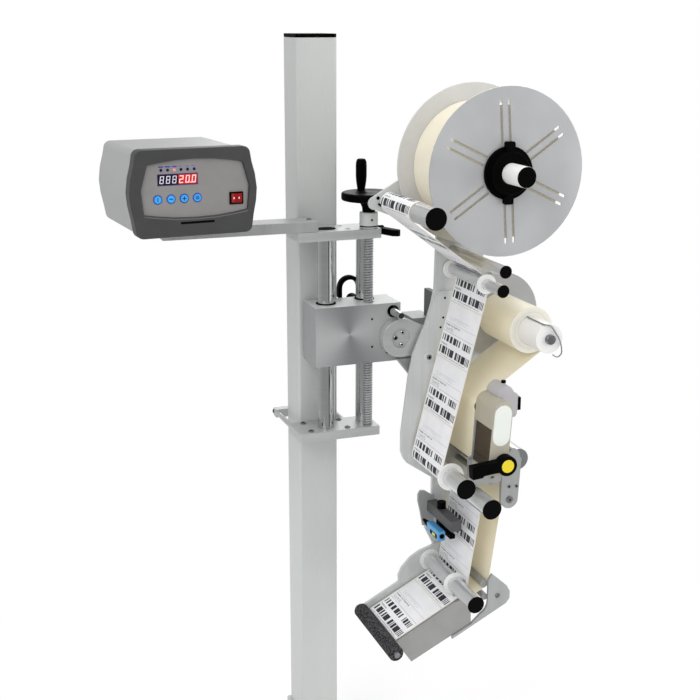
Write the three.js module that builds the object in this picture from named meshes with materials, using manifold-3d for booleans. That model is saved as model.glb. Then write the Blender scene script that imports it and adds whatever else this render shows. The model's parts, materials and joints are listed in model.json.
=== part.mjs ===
import * as THREE from 'three';
import { mergeVertices } from 'three/addons/utils/BufferGeometryUtils.js';
import Module from 'manifold-3d';

// Label applicator on a floor stand. Millimetres, +Z up, operator side towards -Y.
// The origin is on the floor under the axis of the column.

// Fits
const gap = 0.3; // between pieces that rest on each other
const runClearance = 0.6; // between pieces that turn past each other
const overrun = 1; // how far a cut or a join reaches past a face

// Stand
const columnSide = 80;
const columnWall = 4;
const columnCorner = 5;
const columnHeight = 1558;
const capThickness = 6.7;
const capPlug = 14;
const railSide = 60;
const railReach = 430; // in front of the column axis
const railBehind = 40; // behind it
const railLength = railReach + railBehind;
const leftRailOffset = 170;
const rightRailOffset = 300;
const socketWall = 6.7;
const socketHeight = 92;
const padHeight = 8;
const padRadius = 24;

// Clamp plates, guide rods and tie rods
const plateLeft = 62; // left of the column axis
const plateRight = 103;
const plateDepth = 73.7;
const plateThickness = 18;
const plateCorner = 3;
const lowerPlateHeight = 800; // underside above the floor
const rodFreeLength = 374; // clear distance between the two plates
const rodRadius = 16;
const leftRodX = 1.3;
const leftRodSetback = 44; // in front of the column face
const rightRodX = 86;
const rightRodSetback = 26;
const rodPlugHeight = 1.5;
const rodPlugRadius = 14;
const rodPlugLength = 10; // between the two round ends of the oval plug
const tieRodOffset = 55;
const tieRodRadius = 5;
const clampBarSpace = 13; // behind the column
const clampBarDepth = 18;
const clampBarWidth = 120;
const clampBarHeight = 17;

// Lead screw, collar and handwheel
const screwX = 83.2;
const screwSetback = 56;
const screwRadius = 10;
const stemRadius = 6.4;
const collarRadius = 17.5;
const collarHeight = 30;
const collarFoot = 5;
const collarGroove = 1.5;
const wheelRadius = 52;
const wheelThickness = 15;
const wheelHubHeight = 22;
const wheelHubRadius = 12;
const wheelHubFlare = 24;
const wheelRim = 3;
const stemEngagement = 28; // length of stem inside the handwheel
const gripOffset = 41;
const gripRadius = 10.5;
const gripNeck = 7.5;
const gripLength = 58;
const gripPinRadius = 3;
const gripPinLength = 24;
const gripShares = [0.35, 0.85]; // where the grip is thickest

// Clamp lever on the upper plate
const plateLeverDepth = 36; // hub axis, measured from the rear of the plate
const plateLeverHub = 9;
const plateLeverHubLength = 17;
const plateLeverReach = 44;
const plateLeverSpread = 18;
const plateLeverDrop = 6;
const plateLeverTip = 6;

// Slide block
const pivotRise = 182; // tilt axis above the lower clamp plate
const blockLeft = 32;
const blockRight = 140;
const blockDepth = 76;
const blockSpace = 6; // behind the block
const blockBelow = 48.7; // below the tilt axis
const blockAbove = 66.4;
const pivotInset = 5.5; // tilt axis, left of the right face of the block
const boreClearance = 0.5;
const pinInset = 16;
const pinRise = 50;
const pinBoreRadius = 12;
const pinBoreDepth = 9;
const pinRadius = 9.5;
const pinTip = 6;
const pinLength = 42;

// Clamp lever behind the slide block
const blockLeverInset = 63; // left of the right face of the block
const blockLeverRise = 56; // above the tilt axis
const blockLeverHub = 12;
const blockLeverHubLength = 16;
const blockLeverArc = 20;
const blockLeverBar = 4;
const blockLeverShift = 7; // middle of the arch, left of the hub
const blockLeverLeg = 25;
const blockLeverThickness = 11;

// Bracket bar and control box
const barLeft = 314;
const barRight = 23;
const barDepth = 52;
const barHeight = 20;
const boxTurn = THREE.MathUtils.degToRad(5.04);
const boxX = 359; // front left corner of the box, left of the column axis
const boxY = 201; // and in front of it
const boxStart = 16.8; // foot of the left side, left of the panel's zero
const boxWidth = 208.4;
const boxHeight = 149.6;
const boxDepth = 220;
const boxSpread = 10.4; // how far each side stands out at its widest
const boxLean = 1.8; // how much narrower each side is at the top
const boxSideShares = [[0.21, 0.3], [0.37, 0.8], [0.515, 1], [0.68, 0.72], [0.82, 0.2]]; // height, spread
const boxCorner = 13;
const bezelDepth = 26;
const bezelLip = 5;
const housingInset = 3;
const housingWall = 2.5;
const footRadius = 8;
const footInset = 22; // foot of the box, from the end and from the rear edge of the bar
const panelThickness = 3;
const panelLeft = -1.4;
const panelRight = 183;
const panelBottom = 40.5;
const panelTop = 123;
const panelSpread = 4.1; // how far each side stands out at mid height
const panelLean = 7.8; // how much narrower each side is at the top
const panelArch = 8.5; // how far the lower and upper edges bow out
const panelArchShares = [[0.12, 0.42], [0.3, 0.86], [0.5, 1], [0.7, 0.86], [0.88, 0.42]];
const displayLeft = 24.5;
const displayWidth = 70.5;
const displayBottom = 88.6;
const displayHeight = 18.4;
const displayThickness = 2.4;
const buttonRadius = 7.8;
const buttonPitch = 23.3;
const firstButton = 23.6;
const buttonRow = 65;
const buttonProud = 1.2;
const buttonTravel = 0.8;
const rockerLeft = 153.9;
const rockerWidth = 19.6;
const rockerBottom = 52.3;
const rockerHeight = 16.4;
const rockerFrame = 2.2;
const rockerProud = 2.2;

// Layers of the head, front to back
const knuckleThickness = 19.7;
const chassisThickness = 7.7;
const plateLayer = 5.2; // tray, unwind arm and beak side plates
const webInset = 4.5; // in front of those plates
const webWidth = 137;
const webThickness = 0.6;
const rollerReach = 210; // roller ends, in front of the inner edge of the web
const frontPlateLayer = 8;

// Tilt knuckle and rear bracket, from the tilt axis
const knuckleRadius = 38;
const knuckleRecess = 19;
const knuckleRecessDepth = 5;
const knuckleArmReach = 66;
const knuckleArmRise = 13;
const knuckleArmDrop = 34;
const bracketLeft = 31;
const bracketRight = 74;
const bracketDepth = 60; // behind the knuckle
const bracketTop = 32;
const bracketBottom = 40;
const flangeLeft = 63;
const flangeRight = 74;
const flangeTop = 86;
const gussetReach = 5; // left of the tilt axis
const gussetTop = 42;
const gussetBottom = 96;

// Chassis and tray outline, from the tilt axis
const spineLeft = 64;
const spineRight = 165;
const spineTop = 352;
const chassisRight = 195;
const footRight = 170;
const chassisBottom = 452;
const lobeRadius = 56; // round the rewind axis
const trayLeft = 3.5; // left of the tilt axis
const trayRight = 105;
const trayTop = 90;
const trayBottom = 291;
const shoulderShares = [0.92, 0.75]; // of spineLeft and trayTop
const leftEdgeShares = [ // of spineLeft across, of chassisBottom down
  [0.48, 0.064], [0.4, 0.167], [0.24, 0.418], [0.24, 0.489], [0.4, 0.541], [1.05, 0.628], [1.05, 0.72],
  [0.85, 0.883], [1.12, 0.96], [1.12, 1],
];
const rightEdgeShares = [0.67, 0.58, 0.129]; // of chassisBottom, from the foot up
const lobeTopShare = 0.409; // of spineTop
const trayHeadShares = [[1.1, -0.309], [0.3, 0.1], [0.155, 0.261]]; // of spineLeft across, of trayBottom down
const traySideShares = [0.646, 0.775]; // straight side, of trayBottom
const trayFootShares = [[0.022, 0.825], [0.153, 0.863], [1.06, 1]];

// Unwind arm and supply reel
const reelX = 130.2;
const reelZ = 330.2;
const reelRadius = 150;
const reelFlange = 3;
const labelRollRadius = 118;
const labelRollCore = 38;
const reelShaftRadius = 18.5;
const reelShaftReach = 221;
const reelFrontSpace = 4; // web edge to the front flange
const slotInner = 50;
const slotOuter = 125;
const slotWidth = 5;
const slotOffset = 7.8;
const slotTurn = THREE.MathUtils.degToRad(34.4);
const slotPairs = 6;
const nutRadius = 47;
const nutBase = 6;
const nutRingRadius = 38;
const nutRing = 10;
const nutTabWidth = 17;
const nutTabReach = 55;
const armEndReach = 43; // past the feed roller
const armHalfWidth = 24;
const armEyeShare = 1.5; // round the reel shaft, of armHalfWidth
const armNoseShares = [0.7, 0.1]; // of armEndReach

// Rollers of the web path, from the tilt axis
const feedX = -34.4;
const feedZ = 266;
const feedRadius = 18.5;
const upperX = 100.2;
const upperZ = 166.2;
const upperRadius = 10.35;
const trayRollerX = 96.7;
const trayRollerZ = 131.9;
const trayRollerRadius = 10.3;
const lowerX = 36.2;
const lowerZ = -230.1;
const lowerRadius = 17.45;
const crossX = 89.8;
const crossZ = -277;
const crossRadius = 17.9;
const beakRollerX = 63.1;
const beakRollerZ = -464.4;
const beakRollerRadius = 15.4;
const turnX = 94.5;
const turnZ = -100;
const turnRadius = 10;
const guideX = 90.5;
const guideZ = -197;
const guideRadius = 10;
const driveX = 131.5;
const driveZ = -215;
const driveRadius = 25;
const driveStubRadius = 8;
const pressureRadius = 21;
const collarWidth = 6;
const smallCollar = 18;
const mediumCollar = 22;
const largeCollar = 26;

// Rewinder, from the tilt axis
const rewindX = 197.5;
const rewindZ = 35;
const rewindFlangeRadius = 84;
const rewindFlange = 3;
const linerRollRadius = 44;
const linerRollWidth = 132;
const coreRadius = 27;
const coreReach = 205;
const boltRadius = 9;
const boltReach = 8;
const wireRadius = 1.3;
const wireReach = 20.5;
const wireBendShares = [ // of wireReach across, of coreRadius up
  [0.5, 0.43], [0.91, -0.09], [1.12, -0.53], [1.15, -1.06], [0.76, -1.26], [0.3, -1.07],
];
const wireLeadShares = [0.8, 0.1]; // of its start

// Drive unit, from the tilt axis
const frontSpace = 1.5; // web edge to the drive unit
const housingWidth = 38;
const housingTopX = 104.5;
const housingTopZ = -88.5;
const housingFootX = 96.5;
const housingFootZ = -210;
const housingDepth = 74;
const plateOval = 17;
const ovalProud = 0.8;
const ovalInset = 15; // first oval centre below the top of the housing
const ovalLength = 42.5;
const windowDepth = 3;
const windowTop = 122;
const windowBottom = 200;
const windowLength = 68; // front to back
const frontPlateLeft = 70.5;
const frontPlateTop = 195;
const frontPlateBottom = 252;
const postRadius = 6;
const lowerPostX = 122;
const lowerPostZ = -253;
const motorLeft = 105;
const motorRight = 148;
const motorTop = 50.5;
const motorBottom = 111;
const motorDepth = 46;
const motorShares = [
  [0, 0], [0.86, 0], [0.95, 0.07], [0.98, 0.26], [1, 0.3], [1, 0.66], [0.95, 0.72], [0.78, 0.8],
  [0.66, 0.93], [0.55, 0.99], [0.35, 1], [0.16, 0.93], [0.04, 0.8], [0, 0.62],
]; // across, up
const motorPostX = 138;
const motorPostZ = -92;
const motorKnobX = 128.5;
const motorKnobRadius = 4.5;
const motorKnobHeight = 4;
const motorTabWidth = 5.2;
const motorTabDrop = 24;
const motorTabHeight = 24;
const motorTabDepth = 20;
const motorTabProud = 0.6;

// Nip arm and nip lever, from the tilt axis
const nipPivotX = 158;
const nipPivotZ = -290;
const nipPivotRadius = 18;
const nipTopWidth = 40;
const nipTopRise = 26; // above the drive axis
const nipCorner = 12;
const nipLobeX = 164;
const nipStubRadius = 6;
const leverX = 107.5;
const leverZ = -187;
const leverHub = 19;
const leverThickness = 17;
const leverReach = 70;
const leverBarTop = 12;
const leverBarBottom = 9;
const leverHeel = 20;
const leverHeelDrop = 3;
const leverTilt = THREE.MathUtils.degToRad(5);
const leverCap = 12;
const leverCapProud = 1.5;
const leverPin = 4;

// Beak: the wedge under the peel edge, from the tilt axis
const peelX = -66;
const peelZ = -551;
const peelRadius = 1.5;
const wedgeTopX = 51.5;
const wedgeBackX = 87.5;
const wedgeBackZ = -539;
const wedgeFootX = -36.5;
const wedgeFootZ = -599;
const channelGap = 2;
const returnX = 115;
const returnZ = -462;
const returnRadius = 8;
const sideWall = 2.5;
const sideSpace = 1.5; // web edge to the side walls of the beak
const linkTop = 430; // beak plate below the tilt axis
const rimHeight = 14.5; // edge of the beak plate above the table
const linkRight = 148;
const linkHeadShares = [[1.6, 1], [0.8, 1.028], [0.4, 1.055], [0.04, 1.1], [-0.102, 1.138]];
const linkFootShares = [[0.5, 1.27], [1.7, 1.247]]; // both of wedgeTopX across, of linkTop down
const linkEndShares = [[0.95, 1.175], [1, 1.12], [0.95, 1.02], [0.8, 1]]; // of linkRight, of linkTop
const rimStart = 4.5; // left of the tilt axis
const tieX = 117; // cross rod to the front side plate
const tieZ = -490;
const tieRadius = 6.5;
const sideFrontLayer = 6;
const beakCollarReach = 20;
const sidePlateFootZ = -565;
const sidePlateRight = 168;
const sidePlateRise = 124;
const sidePlateNeck = 121;
const sidePlateToeShare = 0.54; // of wedgeBackX
const sidePlateNoseShares = [0.46, 0.54, 0.66, 0.76]; // of sidePlateRise
const sidePlateHeadShare = 0.765; // of sidePlateRight
const sidePlateNeckShares = [0.9, 0.54]; // of sidePlateRise
const sideEndRound = 7;
const hookRadius = 26;
const hookSweep = THREE.MathUtils.degToRad(63);
const foamRadius = 14.5;
const foamX = -85.8;
const foamZ = -551.3;
const foamReach = 187;
const foamPinRadius = 5.5;
const foamPinLength = 6;

// Label sensor, from the tilt axis
const sensorX = 65.5;
const sensorZ = -347;
const sensorSize = 22;
const sensorReach = 115;
const sensorPlateLeft = 34.8;
const sensorPlateRight = 69.5;
const sensorPlateTop = 313;
const sensorPlateBottom = 389;
const sensorPlateShares = [
  [0.32, 0], [1, 0], [1, 0.82], [0.83, 0.85], [0.43, 0.98], [0.15, 1], [0, 0.89], [0, 0.71], [0.18, 0.36],
]; // across, up
const forkHeight = 9;
const forkDrop = 12;
const forkReach = 100;
const knobRadius = 9;
const knobLength = 14;
const knobReach = 45;
const knobPinRadius = 3;
const cellX = 48;
const cellZ = -386;
const cellWidth = 15;
const cellHeight = 20;
const cellReach = 88;

// Counts
const roundSides = 28;
const smallSides = 16;
const discSides = 56;
const arcStep = THREE.MathUtils.degToRad(15);

const wasm = await Module();
wasm.setup();

// Solid geometry helpers
function solid(geometry) {
  const plain = geometry.clone();
  plain.deleteAttribute('normal');
  plain.deleteAttribute('uv');
  const merged = mergeVertices(plain);
  const corners = merged.index.array;
  const triangles = [];
  for (let i = 0; i < corners.length; i += 3) {
    const [a, b, c] = corners.slice(i, i + 3);
    if (a !== b && b !== c && c !== a) triangles.push(a, b, c);
  }
  return new wasm.Manifold(new wasm.Mesh({
    numProp: 3,
    vertProperties: new Float32Array(merged.attributes.position.array),
    triVerts: new Uint32Array(triangles),
  }));
}

function fromSolid(body) {
  const mesh = body.getMesh();
  const geometry = new THREE.BufferGeometry();
  geometry.setAttribute('position', new THREE.BufferAttribute(new Float32Array(mesh.vertProperties), 3));
  geometry.setIndex(new THREE.BufferAttribute(new Uint32Array(mesh.triVerts), 1));
  const flat = geometry.toNonIndexed();
  flat.computeVertexNormals();
  return flat;
}

function join(...geometries) {
  return fromSolid(geometries.map(solid).reduce((a, b) => a.add(b)));
}

function cut(geometry, ...tools) {
  return fromSolid(tools.map(solid).reduce((a, b) => a.subtract(b), solid(geometry)));
}

function box(x0, x1, y0, y1, z0, z1) {
  return new THREE.BoxGeometry(x1 - x0, y1 - y0, z1 - z0)
    .translate((x0 + x1) / 2, (y0 + y1) / 2, (z0 + z1) / 2);
}

function roundX(y, z, radius, x0, x1, sides = smallSides) {
  return new THREE.CylinderGeometry(radius, radius, x1 - x0, sides)
    .rotateZ(-Math.PI / 2).translate((x0 + x1) / 2, y, z);
}

function roundY(x, z, radius, y0, y1, sides = roundSides, frontRadius = radius) {
  return new THREE.CylinderGeometry(radius, frontRadius, Math.abs(y1 - y0), sides)
    .translate(x, (y0 + y1) / 2, z);
}

function roundZ(x, y, radius, z0, z1, sides = roundSides, topRadius = radius) {
  return new THREE.CylinderGeometry(topRadius, radius, z1 - z0, sides)
    .rotateX(Math.PI / 2).translate(x, y, (z0 + z1) / 2);
}

function turnedY(profile, sides = roundSides) {
  const points = profile.map(([radius, y]) => new THREE.Vector2(radius, y));
  return fromSolid(solid(new THREE.LatheGeometry(points, sides)));
}

function turnedZ(profile, sides = roundSides) {
  return turnedY(profile, sides).rotateX(Math.PI / 2);
}

function outline(points) {
  return new THREE.Shape(points.map(([x, y]) => new THREE.Vector2(x, y)));
}

function arcPoints(x, y, radius, from, to) {
  const steps = Math.max(1, Math.ceil(Math.abs(to - from) / arcStep));
  return Array.from({ length: steps + 1 }, (_, i) => {
    const angle = from + (to - from) * i / steps;
    return [x + radius * Math.cos(angle), y + radius * Math.sin(angle)];
  });
}

function roundedOutline(x0, x1, y0, y1, radius) {
  return [
    ...arcPoints(x1 - radius, y0 + radius, radius, -Math.PI / 2, 0),
    ...arcPoints(x1 - radius, y1 - radius, radius, 0, Math.PI / 2),
    ...arcPoints(x0 + radius, y1 - radius, radius, Math.PI / 2, Math.PI),
    ...arcPoints(x0 + radius, y0 + radius, radius, Math.PI, Math.PI * 1.5),
  ];
}

// Outline in the XY plane, extruded upwards
function slabZ(points, z0, z1, holes = []) {
  const shape = outline(points);
  shape.holes = holes.map(outline);
  return new THREE.ExtrudeGeometry(shape, { depth: z1 - z0, bevelEnabled: false }).translate(0, 0, z0);
}

// Outline in the XZ plane, extruded from yBack towards the operator
function slabY(points, yBack, yFront, holes = []) {
  const shape = outline(points);
  shape.holes = holes.map(outline);
  return new THREE.ExtrudeGeometry(shape, { depth: yBack - yFront, bevelEnabled: false })
    .rotateX(Math.PI / 2).translate(0, yBack, 0);
}

function wire(points, radius, steps) {
  const section = outline(arcPoints(0, 0, radius, 0, Math.PI * 2).slice(0, -1)
    .filter((_, i) => i % 3 === 0));
  const path = new THREE.CatmullRomCurve3(points.map((p) => new THREE.Vector3(...p)), false, 'centripetal');
  return new THREE.ExtrudeGeometry(section, { steps, extrudePath: path, bevelEnabled: false });
}

function paint(color, roughness, metalness) {
  return () => new THREE.MeshStandardMaterial({ color, roughness, metalness });
}

const lightPaint = paint(0xc6c8c9, 0.5, 0.1);
const darkPaint = paint(0x55575a, 0.5, 0.2);
const aluminium = paint(0xb9bbbd, 0.35, 0.85);
const chrome = paint(0xd8dadc, 0.12, 1);
const blackPlastic = paint(0x101112, 0.45, 0);
const whitePlastic = paint(0xe4e4e2, 0.4, 0);
const paper = paint(0xeceae4, 0.8, 0);
const linerPaper = paint(0xd5ccae, 0.8, 0);
const bluePlastic = paint(0x5f9bd8, 0.4, 0);
const foamRubber = paint(0x3a3a3c, 0.95, 0);

function add(group, name, geometry, finish) {
  const mesh = new THREE.Mesh(geometry, finish());
  mesh.name = name;
  group.add(mesh);
  return mesh;
}

const applicator = new THREE.Group();

// Stand: two floor rails, a cross rail, a socket and the column in it
const railTop = padHeight + railSide;
const railBack = railLength - railReach;
const socketSide = columnSide / 2 + gap + socketWall;
const columnFoot = railTop + gap;
const half = columnSide / 2;
const padX = [-leftRailOffset, rightRailOffset];
const padY = [padRadius - railReach + socketWall, railBack - padRadius - socketWall];
const feet = padX.flatMap((x) => padY.map((y) => roundZ(x, y, padRadius, 0, padHeight + overrun)));
add(applicator, 'base_frame', cut(
  join(
    box(-leftRailOffset - railSide / 2, -leftRailOffset + railSide / 2, -railReach, railBack, padHeight,
      railTop),
    box(rightRailOffset - railSide / 2, rightRailOffset + railSide / 2, -railReach, railBack, padHeight,
      railTop),
    box(-leftRailOffset, rightRailOffset, -half, half, padHeight, railTop),
    slabZ(roundedOutline(-socketSide, socketSide, -socketSide, socketSide, columnCorner),
      railTop - overrun, railTop + socketHeight),
    box(-half, half, -half, half, 0, padHeight + overrun),
    ...feet,
  ),
  slabZ(roundedOutline(-half - gap, half + gap, -half - gap, half + gap, columnCorner),
    railTop, railTop + socketHeight + overrun),
), darkPaint);

const inner = half - columnWall;
add(applicator, 'column', slabZ(
  roundedOutline(-half, half, -half, half, columnCorner), columnFoot, columnHeight,
  [roundedOutline(-inner, inner, -inner, inner, columnCorner - columnWall / 2).reverse()],
), lightPaint);

add(applicator, 'column_cap', join(
  slabZ(roundedOutline(-half, half, -half, half, columnCorner), columnHeight + gap,
    columnHeight + gap + capThickness),
  slabZ(roundedOutline(gap - inner, inner - gap, gap - inner, inner - gap, columnCorner - columnWall / 2),
    columnHeight - capPlug, columnHeight + gap + overrun),
), blackPlastic);

// Clamp plates with the two guide rods between them
const plateBack = -half - gap;
const plateFront = plateBack - plateDepth;
const lowerTop = lowerPlateHeight + plateThickness;
const upperBottom = lowerTop + rodFreeLength;
const upperTop = upperBottom + plateThickness;
const leftRodY = -half - leftRodSetback;
const rightRodY = -half - rightRodSetback;
const screwY = -half - screwSetback;
const plateOutline = roundedOutline(-plateLeft, plateRight, plateFront, plateBack, plateCorner);
add(applicator, 'clamp_plate_lower', slabZ(plateOutline, lowerPlateHeight, lowerTop), aluminium);

const tieRodZ = lowerPlateHeight + plateThickness / 2;
const clampBarFront = half + clampBarSpace;
add(applicator, 'clamp_bar', join(
  box(-clampBarWidth / 2, clampBarWidth / 2, clampBarFront, clampBarFront + clampBarDepth,
    tieRodZ - clampBarHeight / 2, tieRodZ + clampBarHeight / 2),
  roundY(-tieRodOffset, tieRodZ, tieRodRadius, plateBack + gap, clampBarFront + overrun, smallSides),
  roundY(tieRodOffset, tieRodZ, tieRodRadius, plateBack + gap, clampBarFront + overrun, smallSides),
), aluminium);

const plugOutline = [
  ...arcPoints(leftRodX + rodPlugLength / 2, leftRodY, rodPlugRadius, -Math.PI / 2, Math.PI / 2),
  ...arcPoints(leftRodX - rodPlugLength / 2, leftRodY, rodPlugRadius, Math.PI / 2, Math.PI * 1.5),
];
add(applicator, 'clamp_plate_upper', cut(
  join(slabZ(plateOutline, upperBottom, upperTop),
    slabZ(plugOutline, upperTop - overrun, upperTop + rodPlugHeight)),
  roundZ(screwX, screwY, stemRadius + runClearance, upperBottom - overrun, upperTop + overrun),
), aluminium);

const rodFoot = lowerTop + gap;
const rodHead = upperBottom - gap;
add(applicator, 'guide_rod_left', roundZ(leftRodX, leftRodY, rodRadius, rodFoot, rodHead), chrome);
add(applicator, 'guide_rod_right', roundZ(rightRodX, rightRodY, rodRadius, rodFoot, rodHead), chrome);

// Lead screw, its collar and the handwheel with a revolving grip
const collarTop = upperTop + gap + collarHeight;
const wheelFoot = collarTop + gap;
const wheelTop = wheelFoot + wheelHubHeight + wheelThickness;
const stemTop = wheelFoot + stemEngagement;
const screw = new THREE.Group();
screw.position.set(screwX, screwY, 0);
applicator.add(screw);
add(screw, 'lead_screw', turnedZ([
  [0, rodFoot], [screwRadius, rodFoot], [screwRadius, rodHead], [stemRadius, rodHead],
  [stemRadius, stemTop], [0, stemTop],
]), chrome);
const stemBore = stemRadius + runClearance;
add(screw, 'screw_collar', turnedZ([
  [stemBore, upperTop + gap], [collarRadius, upperTop + gap],
  [collarRadius, upperTop + gap + collarFoot / 2], [collarRadius - collarGroove,
    upperTop + gap + collarFoot / 2],
  [collarRadius - collarGroove, upperTop + gap + collarFoot], [collarRadius, upperTop + gap + collarFoot],
  [collarRadius, collarTop], [stemBore, collarTop], [stemBore, upperTop + gap],
]), aluminium);
const discFoot = wheelFoot + wheelHubHeight;
add(screw, 'handwheel', join(
  turnedZ([
    [stemRadius + gap, wheelFoot], [wheelHubRadius, wheelFoot], [wheelHubFlare, discFoot],
    [wheelRadius - wheelRim, discFoot], [wheelRadius, discFoot + wheelRim],
    [wheelRadius, wheelTop - wheelRim], [wheelRadius - wheelRim, wheelTop], [0, wheelTop],
    [0, stemTop + gap], [stemRadius + gap, stemTop + gap], [stemRadius + gap, wheelFoot],
  ], 40),
  roundZ(0, gripOffset, gripPinRadius, wheelTop - overrun, wheelTop + gripPinLength, smallSides),
), blackPlastic);
const grip = add(screw, 'crank_grip', turnedZ([
  [gripPinRadius + gap, gap], [gripNeck, gap], ...gripShares.map((along) => [gripRadius, gripLength * along]),
  [gripNeck, gripLength], [0, gripLength],
  [0, gripPinLength + gap], [gripPinRadius + gap, gripPinLength + gap], [gripPinRadius + gap, gap],
]), blackPlastic);
grip.position.set(0, gripOffset, wheelTop);

// Clamp lever at the right end of the upper plate
const plateLeverX = plateRight + gap;
const plateLeverZ = upperBottom + plateThickness / 2;
const plateLever = add(applicator, 'plate_lever', join(
  roundX(0, 0, plateLeverHub, 0, plateLeverHubLength, roundSides),
  slabZ([
    [overrun, 0], [plateLeverHubLength, 0],
    [plateLeverHubLength + plateLeverSpread, -plateLeverReach],
    [plateLeverHubLength + plateLeverSpread - plateLeverTip, -plateLeverReach - plateLeverTip],
    [plateLeverSpread, -plateLeverReach],
  ], -plateLeverDrop, plateLeverTip),
), blackPlastic);
plateLever.position.set(plateLeverX, plateBack - plateLeverDepth, plateLeverZ);

// Slide block on the rods
const carriage = new THREE.Group();
const pivotHeight = lowerTop + pivotRise;
carriage.position.set(0, 0, pivotHeight);
applicator.add(carriage);
const blockBack = -half - blockSpace;
const blockFront = blockBack - blockDepth;
const pivotX = blockRight - pivotInset;
const pinX = pivotX - pinInset + blockSpace;
const boreReach = blockAbove + overrun;
const boreFoot = -blockBelow - overrun;
add(carriage, 'slide_block', join(
  cut(
    box(-blockLeft, blockRight, blockFront, blockBack, -blockBelow, blockAbove),
    roundZ(leftRodX, leftRodY, rodRadius + boreClearance, boreFoot, boreReach),
    roundZ(rightRodX, rightRodY, rodRadius + boreClearance, boreFoot, boreReach),
    roundZ(screwX, screwY, screwRadius + boreClearance, boreFoot, boreReach),
    roundY(pinX, pinRise, pinBoreRadius, blockFront + pinBoreDepth, blockFront - overrun),
  ),
  roundY(pinX, pinRise, pinRadius, blockFront + pinBoreDepth + overrun, blockFront - pinLength,
    smallSides, pinTip),
), aluminium);

// Clamp lever behind the block: hub, and a bar that arches back to the left
const archOuter = blockLeverArc + blockLeverBar;
const archInner = blockLeverArc - blockLeverBar;
const archBack = gap + blockLeverHubLength + blockLeverThickness;
const blockLever = add(carriage, 'block_lever', join(
  roundY(0, 0, blockLeverHub, gap, archBack - gap, roundSides, blockLeverHub - blockLeverBar),
  slabY([
    [archInner - blockLeverShift, 0], [archOuter - blockLeverShift, 0],
    ...arcPoints(-blockLeverShift, blockLeverLeg, archOuter, 0, Math.PI),
    [-archOuter - blockLeverShift, blockLeverLeg / 4], [-archInner - blockLeverShift, blockLeverLeg / 4],
    ...arcPoints(-blockLeverShift, blockLeverLeg, archInner, Math.PI, 0),
  ], archBack, archBack - blockLeverThickness),
), blackPlastic);
blockLever.position.set(blockRight - blockLeverInset, blockBack, blockLeverRise);

// Bracket bar and the control box, which stands turned on it
const barBack = plateFront + barDepth;
const barTop = upperTop + gap + barHeight;
add(applicator, 'bracket_bar', box(-barLeft, -barRight, plateFront, barBack, upperTop + gap, barTop),
  aluminium);

const control = new THREE.Group();
control.position.set(-boxX, -boxY, barTop + gap);
control.rotation.z = boxTurn;
applicator.add(control);
function boxOutline(inset) {
  const left = inset - boxStart;
  const right = boxWidth - boxStart - inset;
  const low = inset + boxCorner;
  const high = boxHeight - inset - boxCorner;
  const side = boxSideShares.map(([height, spread]) => [spread * boxSpread - height * boxLean,
    height * boxHeight]);
  return [
    ...arcPoints(left + boxCorner, low, boxCorner, Math.PI, Math.PI * 1.5),
    ...arcPoints(right - boxCorner, low, boxCorner, -Math.PI / 2, 0),
    ...side.map(([out, z]) => [right + out, z]),
    ...arcPoints(right - boxLean - boxCorner, high, boxCorner, 0, Math.PI / 2),
    ...arcPoints(left + boxLean + boxCorner, high, boxCorner, Math.PI / 2, Math.PI),
    ...side.toReversed().map(([out, z]) => [left - out, z]),
  ];
}
// The housing stands on the bar on two round feet, one behind the other along the bar
const toBox = (x, y) => [
  (x + boxX) * Math.cos(boxTurn) + (y + boxY) * Math.sin(boxTurn),
  (y + boxY) * Math.cos(boxTurn) - (x + boxX) * Math.sin(boxTurn),
];
const footX = [-barLeft + footInset, boxWidth - boxX - footInset * 2];
const feetOfBox = footX.map((x) => {
  const [u, v] = toBox(x, barBack - footInset);
  return roundZ(u, v, footRadius, 0, housingInset + housingWall / 2);
});
add(control, 'control_housing', join(
  cut(
    slabY(boxOutline(housingInset), boxDepth, bezelDepth + gap),
    slabY(boxOutline(housingInset + housingWall), boxDepth - housingWall, bezelDepth + gap - overrun),
  ),
  ...feetOfBox,
), lightPaint);
const panelMid = (panelBottom + panelTop) / 2;
function panelOutline(grow) {
  const left = panelLeft - grow;
  const right = panelRight + grow;
  const lower = panelArchShares.map(([along, arch]) => [
    left + (right - left) * along, panelBottom - grow - panelArch * arch,
  ]);
  const upper = panelArchShares.map(([along, arch]) => [
    left + panelLean + (right - left - panelLean * 2) * along, panelTop + grow + panelArch * arch,
  ]);
  return [
    [left, panelBottom - grow], ...lower, [right, panelBottom - grow], [right + panelSpread, panelMid],
    [right - panelLean, panelTop + grow], ...upper.reverse(), [left + panelLean, panelTop + grow],
    [left - panelSpread, panelMid],
  ];
}
const panelFront = bezelLip;
const panelBack = panelFront + panelThickness;
add(control, 'control_bezel', cut(
  slabY(boxOutline(0), bezelDepth, 0),
  slabY(panelOutline(gap), panelBack + gap, -overrun),
), darkPaint);

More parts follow.
